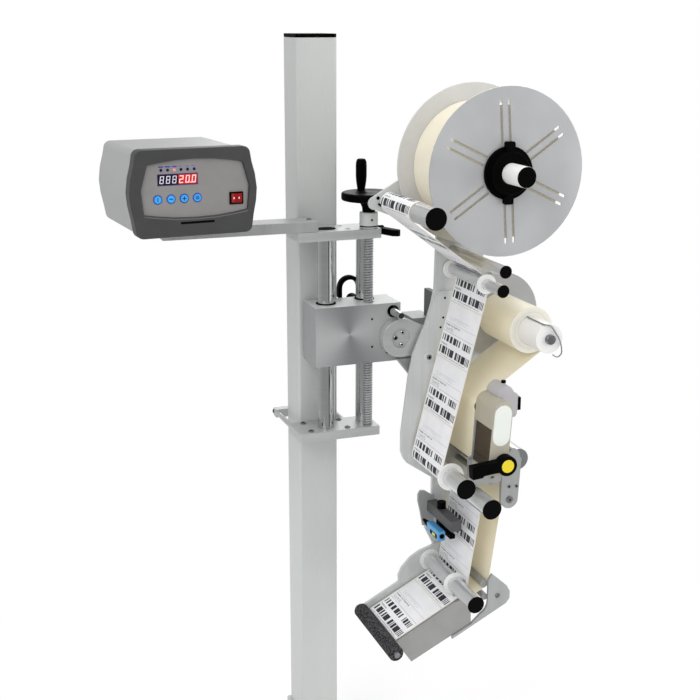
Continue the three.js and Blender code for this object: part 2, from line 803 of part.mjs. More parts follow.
const rockerMidX = rockerLeft + rockerWidth / 2;
const rockerMidZ = rockerBottom + rockerHeight / 2;
const buttonXs = [0, 1, 2, 3].map((i) => firstButton + i * buttonPitch);
const panelRim = rockerFrame + gap;
add(control, 'control_panel', cut(
  join(
    slabY(panelOutline(0), panelBack, panelFront),
    box(rockerLeft - panelRim, rockerLeft + rockerWidth + panelRim, panelFront - rockerFrame,
      panelFront + overrun,
      rockerBottom - panelRim, rockerBottom + rockerHeight + panelRim),
  ),
  box(rockerLeft - gap, rockerLeft + rockerWidth + gap, panelFront - rockerFrame - overrun,
    panelBack + overrun,
    rockerBottom - gap, rockerBottom + rockerHeight + gap),
  box(displayLeft - gap, displayLeft + displayWidth + gap, panelFront - overrun, panelBack + overrun,
    displayBottom - gap, displayBottom + displayHeight + gap),
  ...buttonXs.map((x) => roundY(x, buttonRow, buttonRadius + gap, panelBack + overrun, panelFront - overrun)),
), lightPaint);
add(control, 'display', box(displayLeft, displayLeft + displayWidth, panelBack - displayThickness, panelBack,
  displayBottom, displayBottom + displayHeight), blackPlastic);
buttonXs.forEach((x, i) => {
  const button = add(control, `button_${i + 1}`, roundY(0, 0, buttonRadius,
    panelBack - buttonTravel, panelFront - buttonProud), bluePlastic);
  button.position.set(x, 0, buttonRow);
});
const rocker = add(control, 'rocker_switch', slabZ([
  [-rockerWidth / 2, -rockerProud], [0, 0], [rockerWidth / 2, -rockerProud],
  [rockerWidth / 2, rockerFrame], [rockerWidth / 4, rockerFrame + rockerProud / 2],
  [-rockerWidth / 4, rockerFrame + rockerProud / 2], [-rockerWidth / 2, rockerFrame],
], -rockerHeight / 2, rockerHeight / 2), blackPlastic);
rocker.position.set(rockerMidX, panelFront - rockerProud / 2, rockerMidZ);

// The head turns about the tilt axis, so all of it is drawn from that axis
const head = new THREE.Group();
head.position.set(pivotX, blockFront, 0);
carriage.add(head);
const knuckleBack = -gap;
const knuckleFront = knuckleBack - knuckleThickness;
const chassisBack = knuckleFront - gap;
const chassisFront = chassisBack - chassisThickness;
const layerBack = chassisFront - gap;
const layerFront = layerBack - plateLayer;
const webBack = layerFront - webInset;
const webFront = webBack - webWidth;
const rollerFront = webBack - rollerReach;

const knuckleTangent = Math.asin((knuckleRadius - knuckleArmRise) / knuckleArmReach);
add(head, 'tilt_knuckle', cut(
  slabY([
    ...arcPoints(0, 0, knuckleRadius, Math.PI / 2 - knuckleTangent, Math.PI * 1.5 + knuckleTangent / 4),
    [knuckleArmReach, -knuckleArmDrop], [knuckleArmReach, knuckleArmRise],
  ], knuckleBack, knuckleFront),
  roundY(0, 0, knuckleRecess, knuckleFront + knuckleRecessDepth, knuckleFront - overrun),
), aluminium);

add(head, 'rear_bracket', join(
  box(bracketLeft, bracketRight, gap, bracketDepth, -bracketBottom, bracketTop),
  box(flangeLeft, flangeRight, chassisBack + gap, bracketDepth / 3, bracketTop - overrun, flangeTop),
  slabY([
    [-gussetReach, -gussetTop], [-gussetReach / 2, -gussetTop - gussetReach],
    [bracketLeft + gussetReach, -gussetBottom], [bracketRight, -gussetBottom], [bracketRight, -gussetTop],
  ], knuckleBack, knuckleFront + gap),
  box(flangeLeft, flangeRight, knuckleBack - overrun, bracketDepth / 3, -gussetBottom,
    -bracketBottom + overrun),
), darkPaint);

// Chassis: spine, lobe behind the rewinder and foot; the tray plate lies on its front
const lobe = arcPoints(rewindX, rewindZ, lobeRadius, -Math.PI * 0.4, Math.PI * 0.4);
const chassisOutline = [
  [spineLeft + plateLayer, spineTop], [spineLeft, trayTop + plateLayer],
  [spineLeft * shoulderShares[0], trayTop * shoulderShares[1]],
  ...leftEdgeShares.map(([across, drop]) => [spineLeft * across, -chassisBottom * drop]),
  [footRight, -chassisBottom], [footRight, -chassisBottom * rightEdgeShares[0]],
  [chassisRight, -chassisBottom * rightEdgeShares[1]], [chassisRight, -chassisBottom * rightEdgeShares[2]],
  ...lobe, [spineRight, spineTop * lobeTopShare], [spineRight, spineTop],
];
const trayOutline = [
  ...trayHeadShares.map(([across, drop]) => [spineLeft * across, -trayBottom * drop]),
  ...traySideShares.map((drop) => [-trayLeft, -trayBottom * drop]),
  ...trayFootShares.map(([across, drop]) => [spineLeft * across, -trayBottom * drop]),
  [trayRight, -trayBottom], [trayRight, trayTop],
];
add(head, 'chassis_plate', join(
  slabY(chassisOutline, chassisBack, chassisFront),
  slabY(trayOutline, chassisFront + overrun, layerFront),
), lightPaint);

// Unwind arm from the reel shaft to the feed roller
const armAngle = Math.atan2(reelZ - feedZ, reelX - feedX);
const armDirection = [Math.cos(armAngle), Math.sin(armAngle)];
const armNose = [
  feedX - armEndReach * armNoseShares[0] * armDirection[0],
  feedZ - armEndReach * armNoseShares[1] * armDirection[1],
];
add(head, 'unwind_arm', slabY([
  ...arcPoints(reelX, reelZ, armHalfWidth * armEyeShare, armAngle - Math.PI / 2, armAngle + Math.PI / 2),
  [feedX + armHalfWidth / 2, feedZ + armHalfWidth * armEyeShare],
  ...arcPoints(armNose[0], armNose[1], armHalfWidth / 2, armAngle + Math.PI / 2, armAngle + Math.PI * 1.4),
  [feedX, feedZ - armHalfWidth],
], layerBack, layerFront), lightPaint);

// Supply reel: shaft, two flanges, roll of labels and the locking nut
const reel = new THREE.Group();
reel.position.set(reelX, 0, reelZ);
head.add(reel);
const reelBore = reelShaftRadius + gap;
const rearFlangeBack = layerFront - runClearance;
const frontFlangeBack = webFront - reelFrontSpace;
const frontFlangeFront = frontFlangeBack - reelFlange;
const shaftFront = layerFront - reelShaftReach;
add(reel, 'reel_shaft', roundY(0, 0, reelShaftRadius, layerFront - gap, shaftFront), whitePlastic);
add(reel, 'flange_rear', turnedY([
  [reelBore, frontFlangeBack + gap], [labelRollCore - gap, frontFlangeBack + gap],
  [labelRollCore - gap, rearFlangeBack - reelFlange], [reelRadius, rearFlangeBack - reelFlange],
  [reelRadius, rearFlangeBack], [reelBore, rearFlangeBack], [reelBore, frontFlangeBack + gap],
], discSides), whitePlastic);
add(reel, 'label_roll', turnedY([
  [labelRollCore, webFront], [labelRollRadius, webFront], [labelRollRadius, webBack],
  [labelRollCore, webBack], [labelRollCore, webFront],
], discSides), linerPaper);
const slots = Array.from({ length: slotPairs }, (_, i) => slotTurn + i * Math.PI * 2 / slotPairs)
  .flatMap((turn) => [-slotOffset, slotOffset].map((offset) => {
    const r = slotWidth / 2;
    const points = [
      ...arcPoints(slotOuter, offset, r, -Math.PI / 2, Math.PI / 2).filter((_, k) => k % 4 === 0),
      ...arcPoints(slotInner, offset, r, Math.PI / 2, Math.PI * 1.5).filter((_, k) => k % 4 === 0),
    ];
    return points.reverse().map(([x, z]) => [
      x * Math.cos(turn) - z * Math.sin(turn), x * Math.sin(turn) + z * Math.cos(turn),
    ]);
  }));
const circle = (radius, sides) => Array.from({ length: sides }, (_, i) => [
  radius * Math.cos(i * Math.PI * 2 / sides), radius * Math.sin(i * Math.PI * 2 / sides),
]);
add(reel, 'flange_front', slabY(circle(reelRadius, discSides), frontFlangeBack, frontFlangeFront,
  [circle(reelBore, roundSides).reverse(), ...slots]), whitePlastic);
const nutBack = frontFlangeFront - gap;
add(reel, 'hub_nut', join(
  turnedY([
    [reelBore, nutBack - nutBase - nutRing], [nutRingRadius, nutBack - nutBase - nutRing],
    [nutRingRadius, nutBack - nutBase], [nutRadius, nutBack - nutBase], [nutRadius, nutBack],
    [reelBore, nutBack], [reelBore, nutBack - nutBase - nutRing],
  ], 36),
  box(-nutTabWidth / 2, nutTabWidth / 2, nutBack - nutBase - nutRing / 2, nutBack - gap,
    nutRingRadius - nutBase, nutTabReach),
  box(-nutTabWidth / 2, nutTabWidth / 2, nutBack - nutBase - nutRing / 2, nutBack - gap,
    -nutTabReach, nutBase - nutRingRadius),
), blackPlastic);

// Rollers of the web path
function roller(name, x, z, radius, back, front, finish, collars = [], stub = radius, seat = back) {
  const profile = [[0, front], [radius, front]];
  collars.toSorted((a, b) => a[0] - b[0]).forEach(([from, to, collar]) => {
    profile.push([radius, from], [collar, from], [collar, to], [radius, to]);
  });
  profile.push([radius, back], ...(seat > back ? [[stub, back], [stub, seat]] : []), [0, seat]);
  const mesh = add(head, name, turnedY(profile), finish);
  mesh.position.set(x, 0, z);
}
const collarFront = webFront - sideWall;
roller('roller_feed', feedX, feedZ, feedRadius, layerFront - gap, rollerFront, chrome);
roller('roller_upper', upperX, upperZ, upperRadius, layerBack, rollerFront, chrome);
roller('roller_tray', trayRollerX, trayRollerZ, trayRollerRadius, layerBack, rollerFront, chrome, [
  [collarFront - collarWidth, collarFront, smallCollar],
  [webBack + sideSpace, webBack + sideSpace + collarWidth, smallCollar],
]);
roller('roller_lower', lowerX, lowerZ, lowerRadius, layerFront - gap, rollerFront, chrome, [
  [webFront - sideSpace - collarWidth, webFront - sideSpace, largeCollar],
]);
roller('roller_cross', crossX, crossZ, crossRadius, layerFront - gap, rollerFront, chrome);
roller('roller_turn', turnX, turnZ, turnRadius, layerFront - gap, webFront, chrome);
roller('roller_guide', guideX, guideZ, guideRadius, layerFront - gap, webFront, chrome);
roller('drive_roller', driveX, driveZ, driveRadius, layerFront - gap, webFront, foamRubber, [],
  driveStubRadius, layerBack);

// Rewinder: hub with its flange, roll of spent liner and the wire that holds it
const rewind = new THREE.Group();
rewind.position.set(rewindX, 0, rewindZ);
head.add(rewind);
const rewindFlangeFront = webBack + sideSpace;
const coreFront = layerFront - coreReach;
add(rewind, 'rewind_hub', turnedY([
  [0, coreFront - boltReach], [boltRadius, coreFront - boltReach], [boltRadius, coreFront],
  [coreRadius, coreFront], [coreRadius, rewindFlangeFront], [rewindFlangeRadius, rewindFlangeFront],
  [rewindFlangeRadius, rewindFlangeFront + rewindFlange], [coreRadius, rewindFlangeFront + rewindFlange],
  [coreRadius, layerBack], [0, layerBack],
], 40), whitePlastic);
add(rewind, 'liner_roll', turnedY([
  [coreRadius + gap, webBack - linerRollWidth], [linerRollRadius, webBack - linerRollWidth],
  [linerRollRadius, webBack], [coreRadius + gap, webBack], [coreRadius + gap, webBack - linerRollWidth],
], 36), linerPaper);
const wireRing = coreRadius + gap + wireRadius;
const wireAngle = THREE.MathUtils.degToRad(110);
const wireY = coreFront - gap - wireRadius * 2.5;
const wireStart = [wireRing * Math.cos(wireAngle), wireRing * Math.sin(wireAngle)];
add(rewind, 'wire_clip', wire([
  [wireStart[0], webBack - linerRollWidth - gap, wireStart[1]],
  [wireStart[0], coreFront + wireRing / 3, wireStart[1]],
  [wireStart[0], coreFront + gap, wireStart[1] + gap],
  [wireStart[0] * wireLeadShares[0], wireY + wireRadius, wireStart[1] + gap],
  [wireStart[0] * wireLeadShares[1], wireY, wireStart[1] - wireRadius],
  ...wireBendShares.map(([across, rise]) => [wireReach * across, wireY, coreRadius * rise]),
], wireRadius, 44), chrome);

// Drive unit in front of the web: housing, motor and the front plate that carries the drive roller
const driveBack = webFront - frontSpace;
const driveFront = driveBack - housingDepth;
const housingHalf = housingWidth / 2;
const housingLean = Math.atan2(housingTopX - housingFootX, housingTopZ - housingFootZ);
function housingOutline(grow) {
  return [
    ...arcPoints(housingTopX, housingTopZ, housingHalf + grow, -housingLean, Math.PI - housingLean),
    [housingFootX - housingHalf - grow, housingFootZ], [housingFootX + housingHalf + grow, housingFootZ],
  ];
}
const ovalTopZ = housingTopZ - ovalInset + housingHalf / 2;
const ovalFootZ = ovalTopZ - ovalLength;
const ovalX = (z) => housingTopX + (z - housingTopZ) * Math.tan(housingLean);
const sideX = (z) => ovalX(z) - housingHalf;
const nipLeft = nipPivotX - nipPivotRadius;
const plateBackY = driveBack;
const plateFrontY = driveBack - frontPlateLayer;
add(head, 'drive_housing', cut(
  join(
    slabY(housingOutline(0), driveBack, driveFront),
    slabY([
      ...arcPoints(ovalX(ovalTopZ), ovalTopZ, plateOval, -housingLean, Math.PI - housingLean),
      ...arcPoints(ovalX(ovalFootZ), ovalFootZ, plateOval, Math.PI - housingLean, Math.PI * 2 - housingLean),
    ], driveFront + overrun, driveFront - ovalProud),
    slabY(roundedOutline(frontPlateLeft, nipLeft - runClearance, -frontPlateBottom, -frontPlateTop,
      postRadius), plateBackY, plateFrontY),
    roundY(lowerPostX, lowerPostZ, postRadius, layerBack, plateBackY - overrun, smallSides),
  ),
  slabY([
    [sideX(-windowTop) - housingWidth, -windowTop], [sideX(-windowTop) + windowDepth, -windowTop],
    [sideX(-windowBottom) + windowDepth, -windowBottom],
    [sideX(-windowBottom) - housingWidth, -windowBottom],
  ], driveFront + windowDepth + windowLength, driveFront + windowDepth),
  roundY(leverX, leverZ, leverPin + gap, driveFront + leverThickness, driveFront - overrun, smallSides),
), lightPaint);

const motorBack = driveBack;
const motorOutline = motorShares.map(([across, up]) => [
  motorLeft + (motorRight - motorLeft) * across, -motorBottom + (motorBottom - motorTop) * up,
]);
const motorFront = motorBack - motorDepth;
add(head, 'drive_motor', cut(
  join(
    slabY(motorOutline, motorBack, motorFront),
    roundY(motorPostX, motorPostZ, postRadius, layerBack, motorBack - overrun, smallSides),
    roundZ(motorKnobX, (motorBack + motorFront) / 2, motorKnobRadius, -motorTop - overrun,
      -motorTop + motorKnobHeight, smallSides),
    box(motorRight - overrun, motorRight + motorTabWidth,
      motorFront - motorTabProud, motorFront + motorTabDepth,
      -motorTop - motorTabDrop - motorTabHeight, -motorTop - motorTabDrop),
  ),
  slabY(housingOutline(gap), driveBack + overrun, driveFront - overrun),
), darkPaint);

// Nip arm with the pressure roller, opened by the lever on the drive unit
const nipWeb = webThickness + gap * 2;
const pressureX = driveX + driveRadius + nipWeb + pressureRadius;
const nipTop = driveZ + nipTopRise;
const armBackY = driveBack - gap;
const armFrontY = armBackY - frontPlateLayer;
const nipLower = arcPoints(nipPivotX, nipPivotZ, nipPivotRadius, Math.PI, Math.PI * 2);
add(head, 'nip_arm', join(
  slabY([
    ...nipLower,
    [nipLeft + nipTopWidth, driveZ],
    ...arcPoints(nipLobeX, nipTop - nipCorner, nipCorner, 0, Math.PI),
    [nipLeft, driveZ],
  ], armBackY, armFrontY),
  roundY(pressureX, driveZ, nipStubRadius, webFront - gap, armBackY - overrun, smallSides),
  roundY(nipPivotX, nipPivotZ, nipStubRadius, layerBack, armBackY - overrun, smallSides),
), aluminium);
roller('pressure_roller', pressureX, driveZ, pressureRadius, webBack, webFront, chrome);

const lever = add(head, 'nip_lever', join(
  roundY(0, 0, leverHub, 0, -leverThickness),
  slabY([
    [0, -leverBarBottom], [0, leverBarTop], [-leverReach, leverBarTop],
    [-leverReach, -leverBarBottom - leverHeelDrop], [leverHeel - leverReach, -leverBarBottom - leverHeelDrop],
    [leverHeel - leverReach + leverHeelDrop, -leverBarBottom],
  ].reverse(), 0, -leverThickness),
  roundY(0, 0, leverCap, -leverThickness + overrun, -leverThickness - leverCapProud),
  roundY(0, 0, leverPin, leverThickness - gap, -overrun, smallSides),
), blackPlastic);
lever.position.set(leverX, driveFront - ovalProud - gap, leverZ);
lever.rotation.y = -leverTilt;

// Web path: the strip runs round each roller in turn; sense 1 is anticlockwise seen from the front
const ride = gap + webThickness / 2;
const stations = [
  [reelX, reelZ, labelRollRadius, -1], [feedX, feedZ, feedRadius, 1],
  [trayRollerX, trayRollerZ, trayRollerRadius, -1], [lowerX, lowerZ, lowerRadius, 1],
  [crossX, crossZ, crossRadius, -1], [beakRollerX, beakRollerZ, beakRollerRadius, -1],
  [peelX, peelZ, peelRadius, 1], [returnX, returnZ, returnRadius, 1], [driveX, driveZ, driveRadius, 1],
  [guideX, guideZ, guideRadius, -1], [turnX, turnZ, turnRadius, -1], [rewindX, rewindZ, linerRollRadius, 1],
].map(([x, z, radius, sense]) => ({ x, z, radius: radius + ride, sense }));
const runs = stations.slice(1).map((to, i) => {
  const from = stations[i];
  const distance = Math.hypot(to.x - from.x, to.z - from.z);
  const slope = Math.atan2(to.z - from.z, to.x - from.x);
  return slope - Math.asin((to.sense * to.radius - from.sense * from.radius) / distance);
});
const path = [];
stations.forEach((station, i) => {
  const enter = i > 0 ? runs[i - 1] : runs[0];
  let leave = i < runs.length ? runs[i] : runs[i - 1];
  const turn = Math.PI * 2;
  const sweep = station.sense > 0 ? ((leave - enter) % turn + turn) % turn
    : -(((enter - leave) % turn + turn) % turn);
  const start = enter - Math.PI / 2 + (station.sense < 0 ? Math.PI : 0);
  arcPoints(station.x, station.z, station.radius, start, start + sweep).forEach((p) => path.push(p));
});
const clean = path.filter((p, i) => i === 0 || Math.hypot(p[0] - path[i - 1][0],
  p[1] - path[i - 1][1]) > gap / 3);
const sides = [1, -1].map((side) => clean.map((p, i) => {
  const before = clean[Math.max(0, i - 1)];
  const after = clean[Math.min(clean.length - 1, i + 1)];
  const dx1 = p[0] - before[0];
  const dz1 = p[1] - before[1];
  const dx2 = after[0] - p[0];
  const dz2 = after[1] - p[1];
  const l1 = Math.hypot(dx1, dz1) || Math.hypot(dx2, dz2);
  const l2 = Math.hypot(dx2, dz2) || l1;
  const u1 = i > 0 ? [dx1 / l1, dz1 / l1] : [dx2 / l2, dz2 / l2];
  const u2 = i < clean.length - 1 ? [dx2 / l2, dz2 / l2] : u1;
  const mx = u1[0] + u2[0];
  const mz = u1[1] + u2[1];
  const ml = Math.hypot(mx, mz);
  const miter = 1 / (ml / 2);
  const offset = side * webThickness / 2 * miter;
  return [p[0] - mz / ml * offset, p[1] + mx / ml * offset];
}));
const webOutline = [...sides[1], ...sides[0].reverse()];
add(head, 'label_web', slabY(webOutline, webBack, webFront), paper);

// Beak: a wedge whose nose is the peel edge, with a channel for the returning liner
const tableRun = runs[5];
const returnRun = runs[6];
const tableZ = (x) => peelZ + (x - peelX) * Math.tan(tableRun) - peelRadius / Math.cos(tableRun);
const underZ = (x) => peelZ + (x - peelX) * Math.tan(returnRun) - peelRadius / Math.cos(returnRun);
const bodyBack = webBack + sideSpace + sideWall;
const bodyFront = webFront - sideSpace - sideWall;
const channelDrop = gap + webThickness + channelGap;
const tableEnd = wedgeTopX - channelGap;
const wedgeTopZ = tableZ(tableEnd);
const noseSweep = (returnRun - tableRun + Math.PI * 2) % (Math.PI * 2);
const nose = arcPoints(peelX, peelZ, peelRadius, tableRun - Math.PI / 2, tableRun - Math.PI / 2 + noseSweep);
const wallNoseX = peelX - peelRadius;
const foamArm = foamRadius - foamPinRadius;
const linkPoints = (shares, reach) => shares.map(([across, drop]) => [reach * across, -linkTop * drop]);
const linkOutline = [
  ...linkPoints(linkHeadShares, wedgeTopX),
  [-rimStart, tableZ(-rimStart) + rimHeight], [foamX + foamPinRadius,
    tableZ(foamX + foamPinRadius) + rimHeight],
  ...arcPoints(foamX, foamZ, foamPinRadius * 2, Math.PI / 2, Math.PI * 1.5),
  ...linkPoints(linkFootShares, wedgeTopX), ...linkPoints(linkEndShares, linkRight),
];
const linkFront = bodyBack - overrun;
const beakBack = linkFront - gap;
const sideBack = webFront - sideSpace;
const sideFront = sideBack - sideFrontLayer;
add(head, 'beak_body', cut(
  join(
    slabY([
      [wallNoseX, peelZ], [wedgeFootX, wedgeFootZ], [wedgeBackX, wedgeBackZ],
      [wedgeBackX - channelGap, underZ(wedgeBackX)], [tableEnd, wedgeTopZ],
    ], bodyBack, bodyFront),
    slabY(linkOutline, layerBack, linkFront),
    roundY(returnX, returnZ, returnRadius, layerBack, webFront),
    roundY(tieX, tieZ, tieRadius, layerBack, sideBack + gap, smallSides),
    slabY([
      [wallNoseX + foamArm, peelZ - foamArm], [wallNoseX + foamArm, peelZ + foamArm],
      ...arcPoints(foamX, foamZ, foamPinRadius + foamArm / 2, Math.PI / 2, Math.PI * 1.5),
    ], layerBack, linkFront),
  ),
  slabY([
    [wallNoseX - foamRadius, peelZ - foamRadius / 8], [wallNoseX - foamRadius,
      tableZ(wallNoseX) + foamRadius],
    [tableEnd + overrun, wedgeTopZ + foamRadius], [tableEnd + overrun, tableZ(tableEnd + overrun)],
    ...nose,
    [returnX + returnRadius, underZ(returnX + returnRadius)],
    [returnX + returnRadius, underZ(returnX + returnRadius) - channelDrop],
    [peelX, underZ(peelX) - channelDrop], [wallNoseX - foamRadius, underZ(wallNoseX) - channelDrop],
  ], webBack + sideSpace, webFront - sideSpace),
), lightPaint);

roller('roller_beak', beakRollerX, beakRollerZ, beakRollerRadius, beakBack, rollerFront, chrome, [
  [webBack + gap, beakBack, mediumCollar],
  [webFront - beakCollarReach, webFront - beakCollarReach + collarWidth, mediumCollar],
]);

// Front side plate of the beak: a hook that passes under the beak roller
const plateRise = (share) => sidePlateFootZ + sidePlateRise * share;
const [noseFoot, noseLow, noseHigh, noseHead] = sidePlateNoseShares.map(plateRise);
const [neckTop, hookZ] = sidePlateNeckShares.map(plateRise);
const toeX = wedgeBackX * sidePlateToeShare;
const toeSlope = (wedgeBackZ - wedgeFootZ) / (wedgeBackX - wedgeFootX);
add(head, 'beak_side_front', slabY([
  [toeX, sidePlateFootZ], [sidePlateRight - sideEndRound, noseFoot], [sidePlateRight, noseLow],
  [sidePlateRight, noseHigh], [sidePlateRight - sideEndRound, noseHead],
  [sidePlateRight * sidePlateHeadShare, plateRise(1)], [sidePlateNeck, neckTop],
  ...arcPoints(sidePlateNeck - hookRadius, hookZ, hookRadius, 0, -hookSweep),
  [wedgeBackX + gap * 2, wedgeBackZ + gap], [wedgeBackX + gap * 2, wedgeBackZ - gap],
  [toeX, wedgeBackZ - toeSlope * (wedgeBackX - toeX) - gap * 2],
], sideBack, sideFront), aluminium);

// Foam roller ahead of the peel edge
const foamFront = beakBack - foamReach;
add(head, 'foam_roller', turnedY([
  [0, foamFront - foamPinLength], [foamPinRadius, foamFront - foamPinLength], [foamPinRadius, foamFront],
  [foamRadius, foamFront], [foamRadius, beakBack], [0, beakBack],
]), foamRubber).position.set(foamX, 0, foamZ);

// Label sensor and photocell on a small plate at the edge of the chassis
add(head, 'sensor_holder', join(
  slabY(sensorPlateShares.map(([across, up]) => [
    sensorPlateLeft + (sensorPlateRight - sensorPlateLeft) * across,
    -sensorPlateBottom + (sensorPlateBottom - sensorPlateTop) * up,
  ]), layerBack, layerFront),
  slabY(roundedOutline(sensorX - sensorSize / 2, sensorX + sensorSize / 2, sensorZ - sensorSize / 2,
    sensorZ + sensorSize / 2, plateLayer / 2), layerFront + overrun, layerFront - sensorReach),
  box(sensorX - sensorSize / 4, sensorX + sensorSize / 4, layerFront - forkReach, layerFront - forkReach / 3,
    sensorZ - sensorSize / 2 - forkDrop - forkHeight, sensorZ - sensorSize / 2 - forkDrop),
  box(sensorX - sensorSize / 4, sensorX + sensorSize / 4, layerFront - forkReach / 2,
    layerFront - forkReach / 3,
    sensorZ - sensorSize / 2 - forkDrop - overrun, sensorZ - sensorSize / 2 + overrun),
  roundZ(sensorX, layerFront - knobReach, knobPinRadius, sensorZ,
    sensorZ + sensorSize / 2 + knobLength / 2, smallSides),
), darkPaint);
add(head, 'sensor_knob', cut(
  roundZ(0, 0, knobRadius, gap, knobLength),
  roundZ(0, 0, knobPinRadius + gap, -overrun, knobLength / 2 + gap, smallSides),
), blackPlastic).position.set(sensorX, layerFront - knobReach, sensorZ + sensorSize / 2);
add(head, 'photocell', join(
  slabY(roundedOutline(cellX - cellWidth / 2, cellX + cellWidth / 2, cellZ, cellZ + cellHeight,
    plateLayer / 2),
    layerFront - gap, layerFront - cellReach),
  roundY(cellX, cellZ + cellHeight / 2, cellWidth / 3, layerFront - cellReach + overrun,
    layerFront - cellReach - overrun * 3),
), bluePlastic);

export default applicator;
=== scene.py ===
import json
import math

import bmesh
import bpy
from mathutils import Matrix, Vector

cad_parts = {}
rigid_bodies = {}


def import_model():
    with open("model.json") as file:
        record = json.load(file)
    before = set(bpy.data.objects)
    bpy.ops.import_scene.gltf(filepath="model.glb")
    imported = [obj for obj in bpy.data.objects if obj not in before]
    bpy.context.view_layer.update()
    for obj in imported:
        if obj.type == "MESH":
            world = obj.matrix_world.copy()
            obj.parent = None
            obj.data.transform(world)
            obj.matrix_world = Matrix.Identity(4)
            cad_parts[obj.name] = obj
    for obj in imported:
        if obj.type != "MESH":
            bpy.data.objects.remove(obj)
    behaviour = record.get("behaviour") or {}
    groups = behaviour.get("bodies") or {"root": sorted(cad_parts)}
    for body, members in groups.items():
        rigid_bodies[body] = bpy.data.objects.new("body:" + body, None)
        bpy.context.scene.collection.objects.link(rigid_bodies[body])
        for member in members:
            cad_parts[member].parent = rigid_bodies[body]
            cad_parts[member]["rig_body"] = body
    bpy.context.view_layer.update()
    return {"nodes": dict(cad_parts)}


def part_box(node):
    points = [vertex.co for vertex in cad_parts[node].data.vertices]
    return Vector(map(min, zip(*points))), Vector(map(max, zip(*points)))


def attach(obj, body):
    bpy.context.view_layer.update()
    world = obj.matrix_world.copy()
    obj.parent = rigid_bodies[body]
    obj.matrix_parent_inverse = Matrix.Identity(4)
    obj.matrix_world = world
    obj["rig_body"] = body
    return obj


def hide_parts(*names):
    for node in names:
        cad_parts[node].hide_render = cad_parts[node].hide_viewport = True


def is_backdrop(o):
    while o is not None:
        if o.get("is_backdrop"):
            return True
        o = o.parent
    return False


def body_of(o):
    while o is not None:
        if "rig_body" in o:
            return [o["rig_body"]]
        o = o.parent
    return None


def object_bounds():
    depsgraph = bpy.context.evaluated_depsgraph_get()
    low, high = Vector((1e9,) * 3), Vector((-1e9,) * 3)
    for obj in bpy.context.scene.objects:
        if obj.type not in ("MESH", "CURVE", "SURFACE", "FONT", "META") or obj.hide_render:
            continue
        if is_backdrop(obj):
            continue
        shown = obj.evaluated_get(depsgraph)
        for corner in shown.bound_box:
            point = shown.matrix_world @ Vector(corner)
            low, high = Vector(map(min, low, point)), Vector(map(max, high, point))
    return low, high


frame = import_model()
scene = bpy.context.scene
MM = 0.001
UP = (0, 0, 1)
TO_FRONT = (0, -1, 0)
TO_BACK = (0, 1, 0)

# Points of reference in mm: the head swings about PIVOT, the control box stands at BOX, turned by TURN
PIVOT = Vector((134.5, -122.0, 1000.0))
BOX = Vector((-359.0, -201.0, 1230.6))
TURN = math.radians(5.04)

# Axles on the head: x and z from the pivot, then the radius of what the web runs on
REEL = (130.2, 330.2, 118)
REWINDER = (197.5, 35, 44)
DRIVE = (131.5, -215, 25)
ROLLERS = {
    "feed": (-34.4, 266, 18.5), "upper": (100.2, 166.2, 10.35),
    "tray": (96.7, 131.9, 10.3), "lower": (36.2, -230.1, 17.45),
    "cross": (89.8, -277, 17.9), "beak": (63.1, -464.4, 15.4),
    "turn": (94.5, -100, 10), "guide": (90.5, -197, 10),
}
# The two edges of the web, in y from the pivot
WEB_BACK = -38.0
WEB_FRONT = -175.0


def head(x, y, z):
    return Vector((x, y, z)) + PIVOT


def axle(place):
    """World x and z of an axle on the head."""
    return PIVOT.x + place[0], PIVOT.z + place[1]


def panel(u, v, w):
    """A point on the control box: u across the panel, v to its back, w up."""
    return BOX + Vector((u * math.cos(TURN) - v * math.sin(TURN), u * math.sin(TURN) + v * math.cos(TURN), w))


def mid(node):
    low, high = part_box(node)
    return (low + high) / 2 / MM


def span(node):
    low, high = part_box(node)
    return low / MM, high / MM


def depth(node):
    """The y of a node's back, and how far it reaches from there to the front."""
    low, high = span(node)
    return high.y, high.y - low.y


# Materials
def linear(rgb):
    out = []
    for c in rgb:
        c /= 255.0
        out.append(c / 12.92 if c <= 0.04045 else ((c + 0.055) / 1.055) ** 2.4)
    return (*out, 1.0)


def shade(rgb, k):
    return tuple(min(255, max(0, c * k)) for c in rgb)


